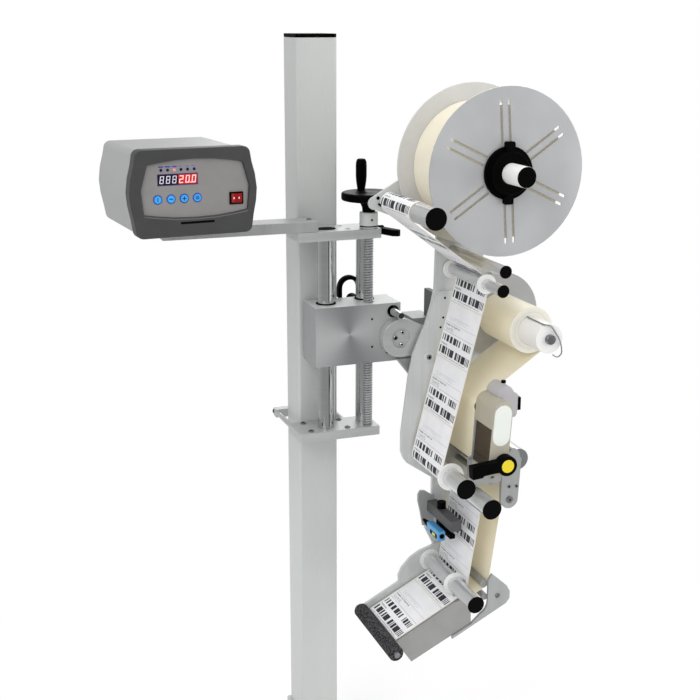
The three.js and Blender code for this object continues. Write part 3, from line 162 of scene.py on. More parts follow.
class Tree:
    """A small writer of node trees."""

    def __init__(self, nodes):
        self.t = nodes

    def put(self, socket, value):
        if hasattr(value, "is_output"):
            self.t.links.new(value, socket)
        else:
            socket.default_value = value

    def add(self, kind, inputs=None, **settings):
        n = self.t.nodes.new("ShaderNode" + kind)
        for k, v in settings.items():
            setattr(n, k, v)
        for k, v in (inputs or {}).items():
            self.put(n.inputs[k], v)
        return n

    def math(self, op, a, b=0.0, c=None):
        inputs = {0: a, 1: b} if c is None else {0: a, 1: b, 2: c}
        return self.add("Math", inputs, operation=op).outputs[0]

    def times(self, a, b):
        return self.math("MULTIPLY", a, b)

    def coords(self, stretch=(1, 1, 1)):
        c = self.add("TexCoord")
        return self.add("Mapping", {"Vector": c.outputs["Object"], "Scale": stretch}).outputs[0]

    def parts(self, kind):
        """The three parts of a texture coordinate."""
        c = self.add("TexCoord")
        return self.add("SeparateXYZ", {0: c.outputs[kind]}).outputs

    def polar(self, centre):
        """Offsets dx and dz, and the distance, from an axis along y at centre (x, z) in mm."""
        at = self.parts("Object")
        dx = self.math("SUBTRACT", at[0], centre[0] * MM)
        dz = self.math("SUBTRACT", at[2], centre[1] * MM)
        return dx, dz, self.math("SQRT", self.math("ADD", self.times(dx, dx), self.times(dz, dz)))

    def noise(self, vector, scale, detail=3.0, rough=0.55):
        inputs = {"Vector": vector, "Scale": scale, "Detail": detail, "Roughness": rough}
        return self.add("TexNoise", inputs).outputs["Fac"]

    def rings(self, distance, scale):
        inputs = {"W": distance, "Scale": scale}
        return self.add("TexNoise", inputs, noise_dimensions="1D").outputs["Fac"]

    def remap(self, value, a, b, lo=0.3, hi=0.7):
        inputs = {"Value": value, "From Min": lo, "From Max": hi, "To Min": a, "To Max": b}
        return self.add("MapRange", inputs).outputs["Result"]

    def mix(self, fac, a, b, blend="MIX"):
        inputs = {"Factor": fac, "A": a, "B": b}
        return self.add("Mix", inputs, data_type="RGBA", blend_type=blend).outputs["Result"]

    def tint(self, value, a, b, lo=0.3, hi=0.7):
        """A colour that goes from a to b while the value goes from lo to hi."""
        return self.mix(self.remap(value, 0, 1, lo, hi), linear(a), linear(b))


class Shader(Tree):
    """The node tree of a new material."""

    NAMES = {"base": "Base Color", "rough": "Roughness", "metal": "Metallic", "coat": "Coat Weight",
             "coat_rough": "Coat Roughness", "spec": "Specular IOR Level", "glow": "Emission Color",
             "glow_power": "Emission Strength"}

    def __init__(self, name):
        self.m = bpy.data.materials.new(name)
        self.m.use_nodes = True
        super().__init__(self.m.node_tree)
        self.bsdf = self.t.nodes["Principled BSDF"]

    def set(self, **values):
        for k, v in values.items():
            self.put(self.bsdf.inputs[self.NAMES[k]], v)

    def bump(self, height, strength, distance=0.0002):
        inputs = {"Height": height, "Strength": strength, "Distance": distance}
        self.put(self.bsdf.inputs["Normal"], self.add("Bump", inputs).outputs[0])


def finish(name, rgb, rough=0.5, metal=0.0, vary=0.03, scale=30, stretch=(1, 1, 1), grain=0.15, fine=900,
           coat=0.0, coat_rough=0.2, spec=0.5, rough_vary=0.05):
    """Clouds and fine grain vary colour and gloss, and the grain also marks the surface."""
    s = Shader(name)
    at = s.coords(stretch)
    grainy = s.noise(at, fine, 2.0)
    both = s.math("MULTIPLY_ADD", grainy, 0.4, s.times(s.noise(at, scale), 0.6))
    s.set(base=s.tint(both, shade(rgb, 1 - vary), shade(rgb, 1 + vary)),
          rough=s.remap(both, rough - rough_vary, rough + rough_vary), metal=metal, spec=spec)
    if coat:
        s.set(coat=coat, coat_rough=coat_rough)
    s.bump(grainy, grain)
    return s.m


column_paint = finish("column_anodised", (196, 199, 197), 0.42, 0.1, scale=8, stretch=(1, 1, 0.04),
                      grain=0.08)
base_paint = finish("base_paint", (194, 197, 195), vary=0.02, grain=0.4, fine=600)
bracket_grey = finish("bracket_grey", (142, 144, 145), 0.5, 0.2, vary=0.05, grain=0.2)
bracket_dark = finish("bracket_dark", (80, 82, 83), 0.5, 0.1, vary=0.05, grain=0.2)
satin = finish("satin_aluminium", (188, 190, 190), 0.38, 0.4, vary=0.05, scale=12, stretch=(0.3, 9, 9),
               grain=0.12)
satin_light = finish("light_aluminium", (204, 206, 205), 0.42, 0.2, scale=14, stretch=(9, 9, 0.4),
                     grain=0.08)
plate_grey = finish("grey_aluminium", (164, 166, 165), 0.44, 0.25, vary=0.04, scale=14, stretch=(6, 6, 0.5),
                    grain=0.1)
beak_grey = finish("beak_aluminium", (150, 150, 148), 0.46, 0.2, vary=0.04, grain=0.1)
# Darker copy of the block's aluminium for its left faces: painted shade
block_side_shade = finish("block_side_shade", (150, 152, 153), 0.42, 0.2, vary=0.04, scale=14, stretch=(6, 6, 0.5),
                    grain=0.1)
dark_aluminium = finish("dark_aluminium", (128, 130, 132), 0.4, 0.5, vary=0.05)
chrome = finish("chrome_rod", (206, 207, 207), 0.09, 1.0, scale=6, stretch=(1, 1, 12), grain=0.02,
                rough_vary=0.03)
roller_steel = finish("polished_roller", (216, 217, 217), 0.24, 0.65, scale=8,
                      stretch=(12, 0.5, 12), grain=0.04, rough_vary=0.04)
screw_steel = finish("screw_steel", (150, 152, 156), 0.28, 0.9, vary=0.1, scale=60, grain=0.1)
thread_steel = finish("thread_steel", (196, 197, 198), 0.3, 0.7, vary=0.05, scale=60, grain=0.1)
bolt_steel = finish("bolt_steel", (128, 129, 132), 0.32, 0.85, vary=0.1, scale=90)
black = finish("black_plastic", (4, 4, 4), vary=0.12, grain=0.2, spec=0.03)
black_gloss = finish("black_gloss", (3, 3, 3), 0.38, vary=0.1, grain=0.04, spec=0.05)
black_cap = finish("black_end_cap", (2, 2, 2), 0.6, vary=0.1, grain=0.2, spec=0.06)
charcoal = finish("charcoal_plastic", (76, 76, 76), 0.48, vary=0.06, grain=0.2)
white_plastic = finish("white_plastic", (232, 232, 230), 0.38, vary=0.015, grain=0.05)
bezel_grey = finish("bezel_plastic", (60, 60, 60), 0.44, vary=0.05, grain=0.3, fine=1300)
housing_side = finish("box_housing", (168, 169, 169), 0.4, 0.1, vary=0.015, grain=0.2)
panel_grey = finish("panel_plastic", (133, 131, 130), 0.46)
panel_light = finish("panel_rib", (98, 98, 98), 0.42, grain=0.1)
button_blue = finish("button_blue", (52, 164, 236), 0.4, grain=0.05)
ring_blue = finish("button_ring", (16, 74, 176), 0.4, vary=0.04)
icon_dark = finish("button_icon", (18, 52, 140), vary=0.02)
navy = finish("lamp_navy", (16, 14, 66), 0.45, vary=0.05, spec=0.2)
lamp_red = finish("lamp_red", (238, 150, 150), 0.3, vary=0.04)
print_blue = finish("print_blue", (44, 30, 170), vary=0.02, spec=0.2)
print_pale = finish("print_pale", (118, 106, 176), vary=0.02, spec=0.2)
rocker_red = finish("rocker_red", (140, 4, 6), 0.3, vary=0.12, scale=60, spec=0.3)
dot_white = finish("dot_white", (238, 238, 238), 0.4, vary=0.01)
yellow = finish("lever_cap_yellow", (226, 205, 30), 0.38, grain=0.06)
lime = finish("cell_window", (205, 214, 60), 0.25, vary=0.05)
cell_blue = finish("photocell_blue", (74, 150, 205), 0.32, vary=0.04, grain=0.06, coat=0.2)
housing_beige = finish("drive_housing", (174, 169, 153), 0.44, vary=0.02, grain=0.12)
oval_white = finish("drive_plate", (228, 232, 226), 0.36, vary=0.012, grain=0.04, coat=0.2)
motor_grey = finish("motor_cover", (178, 176, 180), 0.46, grain=0.1)
rubber = finish("roller_rubber", (52, 53, 56), 0.7, vary=0.08, grain=0.4, fine=500)
purple = finish("display_frame", (64, 48, 104), 0.35)
glass_dark = finish("display_window", (30, 22, 34), 0.12, vary=0.05, grain=0.0, coat=0.5, coat_rough=0.05)
disc_rear = finish("disc_rear", (203, 203, 200), 0.35, vary=0.02, grain=0.05)


def glow(name, rgb, power):
    s = Shader(name)
    s.set(base=linear(rgb), rough=0.4, glow=linear(rgb), glow_power=power)
    s.bump(s.noise(s.coords(), 500), 0.02)
    return s.m


digit_white = glow("digit_white", (205, 200, 216), 0.3)
digit_red = glow("digit_red", (255, 186, 178), 0.6)
window_red = glow("window_red", (168, 26, 40), 0.35)


def window_brown():
    """Dark glass of the drive housing, with soft level bands."""
    s = Shader("window_brown")
    bands = s.noise(s.coords((1, 1, 5)), 26, 2)
    s.set(base=s.tint(bands, (26, 18, 15), (62, 46, 38)), rough=0.16, coat=0.4, coat_rough=0.05)
    s.bump(s.noise(s.coords(), 60), 0.03)
    return s.m


brown_glass = window_brown()


def disc_material():
    """Pale plastic of the discs, its clouds drawn out along their axis."""
    s = Shader("disc_plastic")
    at = s.coords((1, 0.2, 1))
    cloud = s.noise(at, 9, 2)
    s.set(base=s.tint(cloud, (172, 173, 175), (184, 185, 187)), rough=s.remap(cloud, 0.3, 0.4), spec=0.45,
          metal=0.1)
    s.bump(s.noise(at, 700, 2), 0.05)
    return s.m


disc = disc_material()


def foam_material():
    """Dark foam, paler towards its cell walls."""
    s = Shader("foam")
    at = s.coords()
    cells = s.add("TexVoronoi", {"Vector": at, "Scale": 300}).outputs["Distance"]
    tone = s.times(s.noise(at, 480, 3, 0.8), cells)
    s.set(base=s.tint(tone, (9, 9, 10), (76, 76, 78), 0.12, 0.36), rough=0.9, spec=0.2)
    s.bump(cells, 0.8, 0.0008)
    return s.m


foam = foam_material()


def paper_side(name, centre, a, b, painted_glow=0.0):
    """The wound edge of a roll: fine rings round the axle at centre, between colours a and b. Given a glow
    strength, it glows faintly in colour b: painted light that lifts its shade.
    """
    s = Shader(name)
    distance = s.polar(centre)[2]
    thin = s.rings(distance, 1400)
    wide = s.rings(distance, 160)
    f = s.math("MULTIPLY_ADD", thin, 0.6, s.times(wide, 0.4))
    s.set(base=s.tint(f, a, b, 0.35, 0.65), rough=0.75, spec=0.3)
    s.bump(thin, 0.3)
    if painted_glow:
        s.set(glow=linear(b), glow_power=painted_glow)
    return s.m


def liner_material(name, a, b, rough=0.42, painted_glow=0.0):
    s = Shader(name)
    cloud = s.noise(s.coords((1, 0.25, 1)), 14, 2)
    s.set(base=s.tint(cloud, a, b), rough=rough, spec=0.4)
    # A faint glow in colour b: painted light that lifts the liner's shade
    if painted_glow:
        s.set(glow=linear(b), glow_power=painted_glow)
    s.bump(s.noise(s.coords(), 1200), 0.05)
    return s.m


# The liner glows faintly: painted light on its shaded runs
liner = liner_material("liner_paper", (218, 211, 189), (227, 221, 202), painted_glow=0.14)
liner_back = liner_material("liner_back", (206, 203, 208), (216, 213, 216), 0.5)
# The label roll's edge glows faintly: painted light, bright through the flange's slots
roll_edge = paper_side("roll_edge", axle(REEL), (190, 183, 160), (208, 203, 186), 0.18)
rewind_edge = paper_side("rewind_edge", axle(REWINDER), (214, 210, 196), (240, 238, 230))


def label_material():
    """White labels with generic print. u runs across the strip, v along it, whole where two labels meet."""
    s = Shader("label_paper")
    at = s.parts("UV")
    u = at[0]
    v = s.math("FRACT", at[1])

    def between(value, lo, hi):
        return s.times(s.math("GREATER_THAN", value, lo), s.math("LESS_THAN", value, hi))

    def area(u0, u1, v0, v1):
        return s.times(between(u, u0, u1), between(v, v0, v1))

    def cells(columns, rows, seed):
        """A random value for each cell of a grid, or for each column where there are no rows."""
        column = s.math("ADD", s.math("FLOOR", s.times(u, columns)), seed)
        row = s.math("FLOOR", s.times(v, rows)) if rows else 0.5
        at = s.add("CombineXYZ", {0: column, 1: row}).outputs[0]
        return s.add("TexWhiteNoise", {"Vector": at}, noise_dimensions="2D").outputs["Value"]

    def bars(u0, u1, v0, v1, columns, seed, share, rows=0):
        return s.times(area(u0, u1, v0, v1), s.math("LESS_THAN", cells(columns, rows, seed), share))

    def text(u0, u1, v0, v1, columns, rows, seed, ink, share=0.62):
        return s.times(bars(u0, u1, v0, v1, columns, seed, share, rows), ink)

    def strongest(prints):
        top = prints[0]
        for other in prints[1:]:
            top = s.math("MAXIMUM", top, other)
        return top

    dark = strongest([
        bars(0.05, 0.62, 0.585, 0.70, 56, 3, 0.6),
        bars(0.69, 0.95, 0.585, 0.70, 52, 71, 0.55),
        bars(0.04, 0.965, 0.80, 0.93, 52, 19, 0.6),
        text(0.05, 0.5, 0.402, 0.428, 95, 90, 5, 0.75),
        text(0.05, 0.24, 0.742, 0.772, 80, 80, 9, 0.6),
        text(0.1, 0.9, 0.955, 0.972, 100, 110, 13, 0.6),
        text(0.05, 0.3, 0.455, 0.515, 60, 60, 27, 0.42, 0.6),
        s.times(area(0.03, 0.97, 0.367, 0.374), 0.4),
        s.times(area(0.03, 0.97, 0.53, 0.537), 0.55),
    ])
    faint = strongest([
        text(0.12, 0.75, 0.26, 0.275, 80, 110, 33, 0.35),
        text(0.12, 0.66, 0.29, 0.305, 80, 110, 41, 0.35),
        text(0.12, 0.7, 0.32, 0.33, 80, 110, 47, 0.3),
    ])
    paper = s.tint(s.noise(s.coords(), 30), (232, 232, 234), (240, 240, 242))
    printed = s.mix(dark, s.mix(faint, paper, linear((120, 110, 165))), linear((40, 38, 46)))
    on_label = s.times(between(u, 0.012, 0.988), between(v, 0.012, 0.992))
    s.set(base=s.mix(on_label, linear((219, 216, 202)), printed), rough=0.45, spec=0.35)
    s.bump(on_label, 0.35, 0.0001)
    return s.m


label = label_material()


def block_material(centre=(36.6, 1011)):
    """Face-milled aluminium with fine cutter marks, and a soft bow-tie of painted highlight and painted shade
    round the cutter's centre: a painted reflection.
    """
    s = Shader("block_aluminium")
    dx, dz, distance = s.polar(centre)
    # Painted reflection: light and dark sectors by angle round the centre
    painted_bow_tie = s.math("COSINE", s.math("SUBTRACT", s.times(s.math("ARCTAN2", dz, dx), 2.0), 0.35))
    marks = s.rings(distance, 500)
    f = s.math("MULTIPLY_ADD", marks, 0.12, s.math("MULTIPLY_ADD", painted_bow_tie, 0.36, 0.42))
    s.set(base=s.mix(f, linear((114, 117, 118)), linear((182, 184, 184))), rough=0.4, metal=0.15)
    s.bump(marks, 0.05)
    return s.m


block_face = block_material()


# Building pieces
def place(name, mats, body, marks, node, bevel, angle, verts, faces, slots=None, uvs=None):
    """A mesh in world mm, with a material for each face in slots, that rides on a body."""
    me = bpy.data.meshes.new(name)
    me.from_pydata([tuple(Vector(v) * MM) for v in verts], [], faces)
    if slots:
        me.polygons.foreach_set("material_index", slots)
    if uvs:
        layer = me.uv_layers.new(name="UVMap")
        for i, uv in enumerate(uvs):
            layer.data[i].uv = uv
    settle(me, mats, body, node, bevel, angle)


def linked(name, data):
    o = bpy.data.objects.new(name, data)
    scene.collection.objects.link(o)
    return o


def settle(me, mats, body, node, bevel, angle, segments=2):
    """Turns faces out, smooths edges under angle, bevels the others, and ties the piece to its body."""
    for m in mats:
        me.materials.append(m)
    bm = bmesh.new()
    bm.from_mesh(me)
    bmesh.ops.recalc_face_normals(bm, faces=bm.faces)
    limit = math.radians(angle)
    for f in bm.faces:
        f.smooth = True
    for e in bm.edges:
        e.smooth = len(e.link_faces) == 2 and e.calc_face_angle(0) < limit
    bm.to_mesh(me)
    bm.free()
    o = linked(me.name, me)
    if bevel:
        b = o.modifiers.new("Bevel", "BEVEL")
        b.width = bevel * MM
        b.segments = segments
        b.limit_method = "ANGLE"
        b.angle_limit = limit
        b.use_clamp_overlap = True
        b.miter_outer = "MITER_ARC"
        w = o.modifiers.new("Normals", "WEIGHTED_NORMAL")
        w.keep_sharp = True
    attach(o, body)
    if node:
        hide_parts(node)


def body_name(node):
    return body_of(frame["nodes"][node])[0]


def dress(node, mats, bevel=0.9, pick=None, angle=30, segments=2):
    """A cleaned copy of a CAD solid, edges broken. pick(centre in mm, normal) gives a face its material."""
    bm = bmesh.new()
    bm.from_mesh(frame["nodes"][node].data)
    bmesh.ops.remove_doubles(bm, verts=bm.verts, dist=0.00002)
    bmesh.ops.dissolve_limit(bm, angle_limit=math.radians(1.0), verts=bm.verts, edges=bm.edges)
    for f in bm.faces:
        f.material_index = pick(f.calc_center_median() / MM, f.normal) if pick else 0
    me = bpy.data.meshes.new(node + "_skin")
    bm.to_mesh(me)
    bm.free()
    settle(me, mats, body_name(node), node, bevel, angle, segments)


class Bundle:
    """Several small solids gathered in one piece."""

    def __init__(self, name, mats, body, marks=None, node=None, bevel=0.0, angle=34):
        self.args = (name, mats, body, marks, node, bevel, angle)
        self.v, self.f, self.m = [], [], []

    def add(self, verts, faces, slots):
        base = len(self.v)
        self.v += [Vector(v) for v in verts]
        self.f += [tuple(base + i for i in f) for f in faces]
        self.m += slots

    def turned(self, at, axis, profile, sides=32, bands=None):
        """profile is (radius, distance along axis) pairs from at; bands gives a material to each band."""
        axis = Vector(axis).normalized()
        side = axis.orthogonal().normalized()
        other = axis.cross(side)
        angles = [math.tau * i / sides for i in range(sides)]
        rows, verts, faces, slots = [], [], [], []
        for r, t in profile:
            if r < 1e-6:
                rows.append([len(verts)] * sides)
                verts.append(Vector(at) + axis * t)
            else:
                rows.append([len(verts) + i for i in range(sides)])
                verts += [Vector(at) + axis * t + side * r * math.cos(a) + other * r * math.sin(a)
                          for a in angles]
        for k in range(len(rows) - 1):
            near, far = rows[k], rows[k + 1]
            for i in range(sides):
                j = (i + 1) % sides
                face = list(dict.fromkeys((near[i], near[j], far[j], far[i])))
                if len(face) > 2:
                    faces.append(face)
                    slots.append(bands[k] if bands else 0)
        self.add(verts, faces, slots)

    def pin(self, at, axis, radius, height, sides=20, slot=0, sunk=0):
        """A plain cylinder on at, whose foot lies sunk mm below it."""
        self.turned(at, axis, [(0, -sunk), (radius, -sunk), (radius, height), (0, height)], sides, [slot] * 3)

    def prism(self, outline, to_world, d0, d1, slot=0):
        """An outline of (a, b) pairs swept from depth d0 to d1; to_world(a, b, d) gives mm."""
        n = len(outline)
        verts = [to_world(a, b, d) for d in (d0, d1) for a, b in outline]
        faces = [tuple(range(n)), tuple(range(2 * n - 1, n - 1, -1))]
        faces += [(i, (i + 1) % n, n + (i + 1) % n, n + i) for i in range(n)]
        self.add(verts, faces, [slot] * len(faces))

    def block(self, lo, hi, to_world, slot):
        corners = [to_world(*(hi[k] if i >> k & 1 else lo[k] for k in range(3))) for i in range(8)]
        sides = [(0, 2, 3, 1), (4, 5, 7, 6), (0, 1, 5, 4), (2, 6, 7, 3), (0, 4, 6, 2), (1, 3, 7, 5)]
        self.add(corners, sides, [slot] * 6)

    def screw(self, at, out, radius, height=2.2, kind="hex", steel=0, dark=1):
        """A round head that stands on a face, with a six-sided socket or a slot. Socket and slot take the
        material dark, black in most calls: painted shade in the recess.
        """
        out = Vector(out).normalized()
        edge = radius * 0.16
        inner = radius * (0.52 if kind == "hex" else 0.2)
        deep = -height * 0.6
        self.turned(at, out, [(radius, -0.2), (radius, height - edge), (radius - edge, height),
                              (inner, height)], 28, [steel] * 3)
        self.turned(Vector(at) + out * height, out, [(inner, 0), (inner, deep), (0, deep)],
                    6 if kind == "hex" else 16, [dark, dark])
        if kind == "slot":
            side = out.orthogonal().normalized()
            long, wide = radius * 0.85, radius * 0.12
            self.prism([(-long, -wide), (long, -wide), (long, wide), (-long, wide)],
                       lambda a, b, d: Vector(at) + side * a + out.cross(side) * b + out * d,
                       height - 0.05, height + 0.08, dark)

    def done(self):
        place(*self.args, self.v, self.f, self.m)


def skin(node, mats, marks, bevel=0.0, body=None):
    """An empty bundle that will stand for a CAD node, and rides with it unless a body is named."""
    return Bundle(node + "_skin", mats, body or body_name(node), marks, node, bevel)


def ring(radius, sides, at, start=0.0, sweep=math.tau):
    """Points on a circle, or on an arc with both its ends where sweep is less than a full turn."""
    n = sides if sweep == math.tau else sides + 1
    angles = [start + sweep * i / sides for i in range(n)]
    return [(at[0] + radius * math.cos(a), at[1] + radius * math.sin(a)) for a in angles]


def rounded(x0, x1, z0, z1, r, steps=5):
    """A rectangle with round corners."""
    out = []
    middles = ((x1 - r, z0 + r), (x1 - r, z1 - r), (x0 + r, z1 - r), (x0 + r, z0 + r))
    for (cx, cz), a in zip(middles, (-90, 0, 90, 180)):
        angles = [math.radians(a + 90 * i / steps) for i in range(steps + 1)]
        out += [(cx + r * math.cos(q), cz + r * math.sin(q)) for q in angles]
    return out


def upright(x, z, y):
    return Vector((x, y, z))


def on_head(x, z, y):
    return head(x, y, z)


def front(u, w, v):
    return panel(u, v, w)


# Stand
# The CAD keeps this gap between solids
GAP = 0.3
pad_top = span("base_frame")[0].z + 8
lower_top = span("clamp_plate_lower")[1].z
bar_low, bar_high = span("bracket_bar")
clamp_back = span("clamp_bar")[1].y
upper_top = bar_low.z - GAP
dress("base_frame", [base_paint, black], 2.0, lambda c, n: 1 if c.z < pad_top - 0.2 else 0)
dress("column", [column_paint], 0.8)
dress("column_cap", [black], 1.6)
dress("clamp_plate_lower", [satin])
dress("clamp_plate_upper", [satin, black_cap], 0.9,
      lambda c, n: 1 if c.z > upper_top + 0.2 else 0)
dress("clamp_bar", [satin])
dress("bracket_bar", [plate_grey])

b = Bundle("stand_screws", [bolt_steel, black, satin], "stand")
for x in (-35.6, 39.0):
    for y in (-50.7, -101.3):
        b.screw((x, y, lower_top), UP, 5.6, 2.4)
for x, y in ((38.2, -58.6), (41.5, -96.3)):
    b.screw((x, y, upper_top), UP, 5.4, 1.0, steel=2, dark=2)
for x in (-33, -250):
    b.screw((x, mid("bracket_bar").y, bar_high.z), UP, 5.2, 2.2)
for x in (-55, 55):
    b.screw((x, clamp_back, mid("clamp_bar").z), TO_BACK, 7.0, 3.5)
b.done()

RODS = ("guide_rod_left", "guide_rod_right")
for name in RODS:
    low, high = span(name)
    c = mid(name)
    b = skin(name, [chrome], "chrome_rod")
    b.pin((c.x, c.y, low.z), UP, (high.x - low.x) / 2, high.z - low.z, 72)
    b.done()

# Lead screw: a real helical thread below, a plain stem above
CREST = 9.6
ROOT = 8.4
THREAD_PITCH = 5.0
screw_low, screw_high = span("lead_screw")
sx, sy = mid("lead_screw").xy
thread_top = span("clamp_plate_upper")[0].z - GAP


def thread(bottom, top, steps=24):
    """A helical ribbon of crest, flank and root, cut level at both ends. Each section has four points."""
    section = [(CREST, 0.0), (CREST, 0.3), (ROOT, 0.46), (ROOT, 0.84)]
    turns = int(math.ceil((top - bottom) / THREAD_PITCH)) + 2
    verts, faces = [], []
    for i in range(turns * steps + 1):
        a = math.tau * i / steps
        for r, share in section:
            z = min(max(bottom + THREAD_PITCH * (i / steps + share - 1), bottom), top)
            verts.append((sx + r * math.cos(a), sy + r * math.sin(a), z))
    for i in range(turns * steps):
        for q in range(i * 4, i * 4 + 3):
            faces.append((q, q + 4, q + 5, q + 1))
    for i in range((turns - 1) * steps):
        faces.append((i * 4 + 3, (i + 1) * 4 + 3, (i + 1 + steps) * 4, (i + steps) * 4))
    return verts, faces


verts, faces = thread(screw_low.z, thread_top)
place("lead_screw_skin", [thread_steel], "screw", "screw_steel", "lead_screw", 0.0, 50, verts, faces)
b = Bundle("screw_stem", [screw_steel], "screw", "screw_steel")
b.pin((sx, sy, screw_low.z), UP, ROOT + 0.2, thread_top - screw_low.z - 0.1, 32, sunk=-0.05)
b.pin((sx, sy, thread_top), UP, 6.4, screw_high.z - thread_top, 32, sunk=0.2)
b.done()

low, high = span("screw_collar")
h = high.z - low.z
b = skin("screw_collar", [satin_light, black], "satin_aluminium", body="screw")
b.turned((sx, sy, low.z), UP, [
    (7, 0), (16.8, 0), (17.5, 0.7), (17.5, 2.5), (16, 2.7), (16, 4.8), (17.5, 5.0), (17.5, h - 1), (16.6, h),
    (7, h), (7, 0)], 64, [0] * 3 + [1] * 3 + [0] * 4)
b.screw((sx, sy - 17.4, low.z + h * 0.55), TO_FRONT, 2.3, 0.3, "hex", 1, 1)
b.done()

# Handwheel: hub, cone, dish and rim, with the crank's pin on top
WHEEL_HEIGHT = 37
CRANK = 41
foot = span("handwheel")[0].z
b = skin("handwheel", [black, black_gloss], "black_plastic")
b.turned((sx, sy, foot), UP, [
    (6.7, 0), (11.4, 0), (12, 0.6), (13, 9), (17, 17), (24, 21.4), (28, 22), (48.6, 22), (50.6, 22.7),
    (51.8, 24.6), (52, 27), (52, 32.5), (51.6, 34.6), (50.3, 36.2), (48.4, WHEEL_HEIGHT), (34, WHEEL_HEIGHT),
    (31, 36.2), (14, 36.2), (11, WHEEL_HEIGHT), (0, WHEEL_HEIGHT)], 96, [0] * 14 + [1] * 5)
b.pin((sx, sy + CRANK, foot + WHEEL_HEIGHT), UP, 3, 24, sunk=0.5)
b.done()
low, high = span("crank_grip")
h = high.z - low.z
c = mid("crank_grip")
b = skin("crank_grip", [black], "black_plastic")
b.turned((c.x, c.y, low.z), UP, [
    (3.3, 0), (6.8, 0), (7.5, 0.6), (8.2, 5), (9.6, 14), (10.5, 24), (10.5, 44), (10.2, 50), (9.1, 54.5),
    (7, h - 0.5), (4.4, h), (0, h)], 48)
b.done()
dress("plate_lever", [black], 1.2, segments=3)

# Slide block
BOLT = (124.5, 1050)
BOLT_RADIUS = 10
BORE_RADIUS = 12.5
block_front = PIVOT.y
block_top = span("slide_block")[1].z


def block_pick(c, n):
    away = math.hypot(c.x - BOLT[0], c.z - BOLT[1])
    if away < BOLT_RADIUS:
        return 3
    # The bore's walls round the bolt are black: painted shade inside the bore
    if away < BORE_RADIUS and c.y > block_front + 0.1:
        return 2
    # Left faces take the darker copy: painted shade on the block's side
    if n.x < -0.9:
        return 4
    return 1 if n.y < -0.9 else 0


dress("slide_block", [satin_light, block_face, black, chrome, block_side_shade], 0.9, block_pick)
dress("block_lever", [black], 2.2, segments=3)
b = Bundle("block_screws", [black], "carriage")
# Flat black discs in three holes of the block's face: painted shade inside the holes
for x, z, r in ((81.5, 1037.6, 2.2), (81.9, 982.8, 2.2), (113.1, 969.4, 3.0)):
    b.pin((x, block_front - 0.05, z), TO_FRONT, r, 0.12)
# Wipers round the rods, on top of the block
for name in RODS:
    c = mid(name)
    b.turned((c.x, c.y, block_top), UP, [
        (16.6, 0), (19.4, 0), (19.4, 1.2), (18.6, 1.8), (16.6, 1.8), (16.6, 0)], 56)
b.done()

# Control box
dress("control_housing", [housing_side], 1.4)
dress("control_bezel", [bezel_grey], 1.6, segments=3)


def panel_pick(c, n):
    """Black in the rocker switch's pocket."""
    local = c - BOX
    u = local.x * math.cos(TURN) + local.y * math.sin(TURN)
    v = -local.x * math.sin(TURN) + local.y * math.cos(TURN)
    return 1 if 150 < u < 177 and v < 4.9 and 48 < local.z < 73 else 0


dress("control_panel", [panel_grey, black], 0.4, panel_pick)
dress("display", [glass_dark], 0.2)

out = panel(0, -1, 0) - panel(0, 0, 0)
b = Bundle("panel_trim", [purple, panel_light, navy, lamp_red, window_red, print_blue, print_pale], "stand",
           "panel_plastic", None, 0.0, 40)
# The display's frame, as four strips, and the red half of its window
LEFT, RIGHT, BOTTOM, TOP = 24.1, 95.4, 87.9, 107.7
for u0, w0, u1, w1 in ((LEFT, BOTTOM, RIGHT, 89.1), (LEFT, 106.5, RIGHT, TOP), (LEFT, 89.1, 25.0, 106.5),
                       (94.5, 89.1, RIGHT, 106.5)):
    b.block((u0, w0, 5.55), (u1, w1, 4.7), front, 0)
b.block((61.0, 89.4, 5.62), (94.4, 106.2, 5.5), front, 4)
# Six lamps, each with a row of dashes above it; the third lamp is red
LAMP_PITCH = 11.68
for i in range(6):
    u = 31 + LAMP_PITCH * i
    b.turned(panel(u, 5.05, 114.2), out, [(2.6, 0), (2.6, 0.35), (0, 0.4)], 20, [3 if i == 2 else 2] * 2)
    for k in range(5 if i < 3 else 4):
        b.block((u - 4.4 + 1.8 * k, 118.6, 5.05), (u - 3.0 + 1.8 * k, 120.9, 4.95), front, 5 if i < 3 else 6)
b.done()

# Pale rib of the bezel that follows the panel's lower edge
arch = [(0, 0), (0.12, 0.42), (0.3, 0.86), (0.5, 1), (0.7, 0.86), (0.88, 0.42), (1, 0)]
line = [(-1.6 + 184.9 * a, 40.5 - 8.5 * h) for a, h in arch]
b = Bundle("bezel_rib", [panel_light], "stand", "bezel_plastic", None, 0.0, 60)
for (u0, w0), (u1, w1) in zip(line, line[1:]):
    b.prism([(u0, w0 - 2.0), (u1, w1 - 2.0), (u1, w1 - 3.6), (u0, w0 - 3.6)], front, 0.2, -0.35)
b.done()

# A slot in the panel, drawn as a flat black shape: painted shade inside the slot
b = Bundle("panel_slot", [black], "stand")
b.prism(rounded(61, 122, 21.6, 25.4, 1.6), front, 0.05, -0.12)
b.done()

# Digits of the display, three pale and three red with a point
SEGMENTS = {"8": "abcdefg", "2": "abged", "0": "abcdef"}
SLANT = 0.13
DIGIT_PITCH = 11.1


